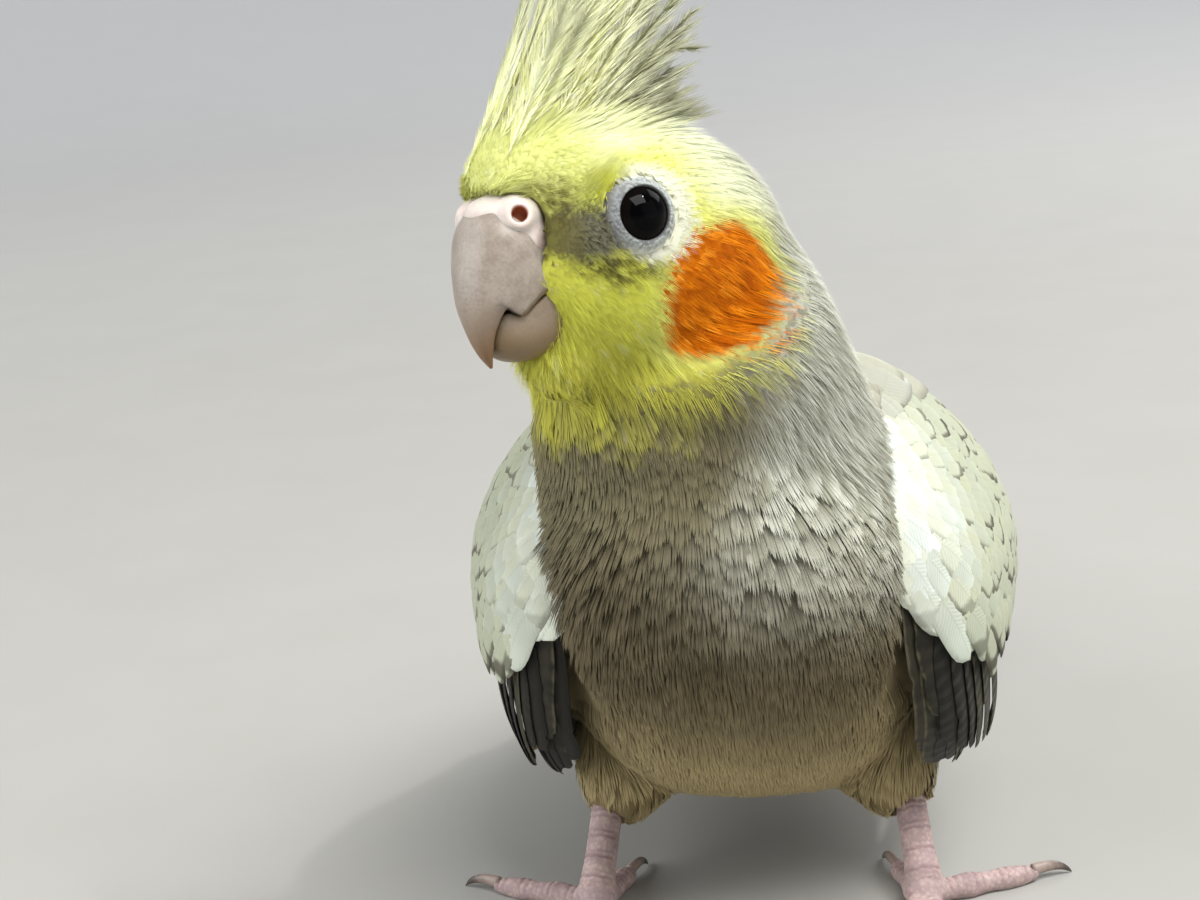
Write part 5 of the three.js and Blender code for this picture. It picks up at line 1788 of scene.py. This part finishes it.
cere_tint = soft.blend(soft.fade(nostril_share, 0.92, 0.72), cere_tint, colour("9a4f28"))
cere_finish = soft.into(Base_Color=cere_tint, Normal=soft.bump(grain + patch, 0.4, 0.07))
cere_piece = make("cere_swelling", cere_points, cere_faces, cere_finish, "cere_skin", reach=from_nostril)
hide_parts("cere")
print("cere", triangles(cere_piece), "triangles")

# %% [markdown]
# ## Feet
#
# Each foot has two toes forward and two back. The bare shank, the sole and the toes are one skin, so
# their lofts are gathered, closed by a voxel remesh and smoothed. Broad scales cross the top of the
# toes and the front of the shank as raised bands, and small grains cover the rest.

# %% Shapes of a foot
FOOT_APART, FOOT_Y = FOOT[:2]
SHANK_RADIUS, TOE_RADIUS, TOE_END, TOE_HEIGHT = 2.0, 1.6, 1.3, 1.05
TOES = {"1": (8.5, -158), "2": (12.5, -16), "3": (17.0, 14), "4": (14.5, 112)}
KNUCKLES = [(0, 1.1), (0.22, 0.9), (0.36, 1.08), (0.55, 0.88), (0.7, 1.02), (0.88, 0.86), (1, 0.55)]
SCALE_PITCH, SCALE_HEIGHT, FOOT_VOXEL, FOOT_ROUNDS = 0.85, 0.17, 0.26, 4
SOLE_RADII, SOLE_HEIGHT = (2.7, 2.9, 2.3), 2.1


def toe_path(side, length, heading, count=48):
    """A toe's middle line, with its heading, in the bird's own millimetres."""
    angle = math.radians(heading)
    ahead = np.array([side * math.sin(angle), -math.cos(angle), 0])
    root = np.array([side * FOOT_APART, FOOT_Y, TOE_HEIGHT + 0.35]) + ahead * 0.5
    end = root + ahead * length
    end[2] = TOE_HEIGHT - 0.05
    middle = (root + end) / 2
    middle[2] = TOE_HEIGHT + 0.12
    u = np.linspace(0, 1, count)[:, None]
    return root * (1 - u) ** 2 + middle * 2 * u * (1 - u) + end * u**2, ahead


def toe_skin(side, length, heading):
    path, ahead = toe_path(side, length, heading)
    u = np.linspace(0, 1, len(path))
    r = mix(TOE_RADIUS, TOE_END, u) * along(KNUCKLES, u)
    sizes = np.stack([r, r * 0.95, r], -1)
    return loft(body_place(rings_on(path, np.cross((0, 0, 1), ahead), sizes)))


def shank_path(side, count=40):
    u = np.linspace(-0.12, 1, count)[:, None]
    top, low = np.array(HEEL), np.array(FOOT)
    path = top * (1 - u) + low * u
    return path * (side, 1, 1)


def foot_skin(side):
    path = shank_path(side)
    r = SHANK_RADIUS * along([(0, 1.2), (0.3, 1), (0.75, 1), (1, 1.15)], np.linspace(0, 1, len(path)))
    parts = [loft(body_place(rings_on(path, (1, 0, 0), np.stack([r, r, r], -1))))]
    polar = np.linspace(0.05, np.pi - 0.05, 24)[:, None]
    angle = np.linspace(0, 2 * np.pi, 28, endpoint=False)[None, :]
    pad = np.stack(
        [
            side * FOOT_APART + SOLE_RADII[0] * np.sin(polar) * np.cos(angle),
            FOOT_Y + SOLE_RADII[1] * np.sin(polar) * np.sin(angle),
            SOLE_HEIGHT + SOLE_RADII[2] * np.cos(polar) + 0 * angle,
        ],
        -1,
    )
    parts.append(loft(body_place(pad)))
    parts += [toe_skin(side, *toe) for toe in TOES.values()]
    return joined(parts)


# %% [markdown]
# After the remesh, each point looks for the nearest of the five lines, four toes and the shank. How far
# it lies along that line gives the band that it's on.

# %% Scales of a foot


def scaled_foot(side, name, finish):
    foot = make("foot", *foot_skin(side))
    baked(foot, ("REMESH", {"mode": "VOXEL", "voxel_size": FOOT_VOXEL * MM}))
    points = eased(points_of(foot.data), edges_of(foot.data), FOOT_ROUNDS)
    put_points(foot.data, points)
    normals = normals_of(foot.data)
    local = (points - home_array) / MM
    nearest, run, facing = np.full(len(points), 99.0), np.zeros(len(points)), np.zeros(len(points))
    lines = [(toe_path(side, *toe)[0], (0, 0, 1)) for toe in TOES.values()]
    lines.append((shank_path(side), (side * 0.25, -1, 0.2)))
    for number, (path, top) in enumerate(lines):
        steps = np.concatenate([[0], np.cumsum(np.linalg.norm(np.diff(path, axis=0), axis=1))])
        gaps = np.linalg.norm(local[:, None] - path, axis=-1)
        step = gaps.argmin(1)
        gap = gaps.min(1)
        better = gap < nearest
        nearest = np.where(better, gap, nearest)
        run = np.where(better, steps[step] + number * 0.3, run)
        facing = np.where(better, normals @ unit(top), facing)
    band = 1 - np.abs(2 * ((run / SCALE_PITCH) % 1) - 1)
    front = smooth(facing, 0.05, 0.45)
    bump_up = front * SCALE_HEIGHT * (smooth(band, 0.0, 0.45) - 0.6)
    off_floor = smooth(local[:, 2], 0.15, 0.6)
    points = points + normals * (bump_up * off_floor)[:, None] * MM
    points[:, 2] = np.maximum(points[:, 2], 0)
    quads = [np.array([list(face.vertices) for face in foot.data.polygons])]
    bpy.data.objects.remove(foot)
    marks = {"reach": run, "shade": smooth(band, 0.0, 0.4), "across": front}
    piece = make(f"leg_skin_{name}", points, quads, finish, "foot_skin", **marks)
    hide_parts(f"foot_{name}", f"shank_{name}")
    print(name, "foot", triangles(piece), "triangles")


scaly = Finish(
    "foot_skin", Roughness=0.6, Specular_IOR_Level=0.35, Subsurface_Weight=0.15, Subsurface_Scale=0.8 * MM
)
scaly_place = scaly.place()
blotch = scaly.noise(scaly_place, 2.2, detail=3) - 0.5
pebbles = scaly.node("TexVoronoi", {}, {"Vector": scaly_place, "Scale": 1 / (0.55 * MM)}, output="Distance")
foot_tint = scaly.blend(scaly.fade(blotch, -0.25, 0.25), colour("a3908e"), colour("c3aca6"))
crease = scaly.mark("across") * (1 - scaly.mark("shade"))
foot_tint = scaly.blend(crease * 0.5, foot_tint, colour("7d6468"))
foot_tint = scaly.blend(scaly.fade(pebbles, 0.35, 0.6) * 0.35, foot_tint, colour("8b7074"))
foot_finish = scaly.into(Base_Color=foot_tint, Normal=scaly.bump(1 - pebbles, 0.35, 0.08))
for side, side_name in SIDES:
    scaled_foot(side, side_name, foot_finish)

# %% [markdown]
# A claw is a curved cone of dark horn, flattened from side to side and ending in a point.

# %% Claws
CLAW, CLAW_RADIUS = 5.0, 0.85

claw_horn = Finish("claw_horn", Roughness=0.4, Specular_IOR_Level=0.45)
reach = claw_horn.mark("reach")
streak = claw_horn.noise(claw_horn.place(), 0.5, detail=3) - 0.5
claw_share = claw_horn.fade(reach + streak * 0.6, 0.1, 0.8)
claw_tint = claw_horn.blend(claw_share, colour("9c8a80"), colour("4a413c"))
claw_finish = claw_horn.into(Base_Color=claw_tint, Normal=claw_horn.bump(streak, 0.3, 0.05))


def claw_shape(side, length, heading):
    path, ahead = toe_path(side, length, heading)
    end = path[-1]
    size = CLAW * mix(0.85, 1.1, length / 17)
    u = np.linspace(0, 1, 22)[:, None]
    root, middle = end - ahead * 0.6 + (0, 0, 0.35), end + ahead * size * 0.55 + (0, 0, 1)
    tip = end + ahead * size * 0.86
    tip[2] = 0.1
    line = root * (1 - u) ** 2 + middle * 2 * u * (1 - u) + tip * u**2
    r = CLAW_RADIUS * along([(0, 1), (0.4, 0.8), (0.8, 0.42), (1, 0.08)], u[:, 0])
    sizes = np.stack([r * 0.8, r, r * 0.85], -1)
    rings = rings_on(line, np.cross((0, 0, 1), ahead), sizes, sides=16)
    rings[..., 2] = np.maximum(rings[..., 2], 0.01)
    points, faces = loft(body_place(rings))
    return points, faces, np.concatenate([np.repeat(u[:, 0], 16), [0, 1]])


for side, side_name in SIDES:
    claws = [claw_shape(side, *toe) for toe in TOES.values()]
    points, faces = joined([(points, faces) for points, faces, _ in claws])
    reach = np.concatenate([reach for _, _, reach in claws])
    piece = make(f"claws_{side_name}", points, faces, claw_finish, "claw_horn", reach=reach)
    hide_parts(*[f"claw_{side_name}_{toe}" for toe in TOES])
    print(side_name, "claws", triangles(piece), "triangles")

# %% [markdown]
# ## Floor, light and camera
#
# The bird stands on a pale floor that curves up far away on every side, so that no edge shows in the main
# view. Its colour holds painted light: it is darker near the middle, where the lamps light it most, and
# paler far out and up the bowl, where less light reaches, so that it looks evenly lit. The studio light is
# soft: broad lamps from above and the bird's left and from its right, weaker ones from its left and from
# behind, and a pale surround. A very small lamp gives the eye its bright spot. The camera looks from the
# photograph's angle, a little from the bird's left and from above, with the roll that a hand-held picture
# has. The plain view transform keeps the named colours true.

# %% Floor
FLOOR_MIDDLE, FLOOR_RADIUS, BOWL_RADIUS, BOWL_HEIGHT = 0.02, 0.8, 2.4, 1.1
bowl = np.linspace(FLOOR_RADIUS, BOWL_RADIUS, 30)
radius = np.concatenate([np.linspace(FLOOR_MIDDLE, FLOOR_RADIUS, 6), bowl[1:]])
height = BOWL_HEIGHT * np.clip((radius - FLOOR_RADIUS) / (BOWL_RADIUS - FLOOR_RADIUS), 0, 1) ** 2
angle = np.linspace(0, 2 * np.pi, 96, endpoint=False)
rings = np.stack(
    [radius[:, None] * np.cos(angle), radius[:, None] * np.sin(angle), height[:, None] + 0 * angle], -1
)
here = np.arange(radius.size * angle.size).reshape(radius.size, angle.size)
there = np.roll(here, -1, axis=1)
floor_faces = [np.stack([here[:-1], there[:-1], there[1:], here[1:]], -1).reshape(-1, 4), here[:1]]
floor = make("floor", rings.reshape(-1, 3), floor_faces)
ground = Finish("floor", Roughness=0.8, Specular_IOR_Level=0.2)
ground_place = ground.place()
speckle = ground.noise(ground_place, 30, detail=3)
# painted light: darker near the middle, where the lamps light the floor most, and paler far out and up the
# bowl, so that it looks evenly lit
far_away = ground.fade(ground.vector("LENGTH", ground_place, output="Value"), 0.1, 1.6)
ground_tint = ground.blend(far_away, colour("a3a29d"), colour("dcdddf"))
ground_tint = ground.blend(speckle * 0.05, ground_tint, colour("ffffff"))
floor.data.materials.append(ground.into(Base_Color=ground_tint))

# %% Light


def lamp(name, place, aim, size, power, tint):
    light = bpy.data.lights.new(name, "AREA")
    light.shape = "RECTANGLE"
    light.size, light.size_y = size
    light.energy = power
    light.color = tint
    holder = bpy.data.objects.new(name, light)
    bpy.context.scene.collection.objects.link(holder)
    holder.location = place
    holder.rotation_euler = (Vector(aim) - Vector(place)).to_track_quat("-Z", "Y").to_euler()


AIM, SURROUND_STRENGTH = (-13.6, -10.0, 61.5), 0.36
target = body_place(*AIM)

# place from the target, size, power and tint
LAMPS = {
    "key_light": ((0.4, -0.4, 0.92), (0.7, 0.5), 13.5, (1.0, 0.99, 0.97)),
    "catch_light": ((0.6, -0.07, 1.02), (0.055, 0.035), 3, (1.0, 1.0, 1.0)),
    "side_light": ((0.95, -0.35, 0.3), (1.0, 1.0), 1.6, (1.0, 1.0, 1.0)),
    "fill_light": ((-1.0, -0.3, 0.4), (1.1, 1.1), 12, (0.97, 0.99, 1.0)),
    "rim_light": ((0.5, 0.7, 0.6), (0.9, 0.5), 5, (1.0, 1.0, 1.0)),
}
for name, (offset, size, power, tint) in LAMPS.items():
    lamp(name, target + offset, target, size, power, tint)
print("lamps:", len(LAMPS))
bpy.context.scene.view_settings.view_transform = "Standard"
surround = bpy.data.worlds.new("surround")
surround.use_nodes = True
backdrop = surround.node_tree.nodes["Background"]
backdrop.inputs["Color"].default_value = colour("e4e5e8")
backdrop.inputs["Strength"].default_value = SURROUND_STRENGTH
bpy.context.scene.world = surround

# %% Camera
VIEW_AZIMUTH, VIEW_ELEVATION, VIEW_ROLL = 8.0, 15.0, 5.0
VIEW_DISTANCE, LENS = 235.0, 63.0

azimuth, elevation = math.radians(VIEW_AZIMUTH), math.radians(VIEW_ELEVATION)
level_share = math.cos(elevation)
back = Vector((math.sin(azimuth) * level_share, -math.cos(azimuth) * level_share, math.sin(elevation)))
camera = bpy.data.objects.new("camera", bpy.data.cameras.new("camera"))
bpy.context.scene.collection.objects.link(camera)
camera.data.lens = LENS
camera.data.clip_start = 0.01
camera.location = Vector(target) + back * VIEW_DISTANCE * MM
level = back.to_track_quat("Z", "Y").to_matrix()
camera.rotation_euler = (level @ Matrix.Rotation(math.radians(-VIEW_ROLL), 3, "Z")).to_euler()
bpy.context.scene.camera = camera
print("camera at", tuple(camera.location))

# %% [markdown]
# ## Hand over
#
# Every piece rides on the one body, as the bird is still.

# %% Finish
for piece in made_pieces:
    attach(piece, "root")
bpy.context.view_layer.update()
print("triangles in all", sum(triangles(piece) for piece in made_pieces))
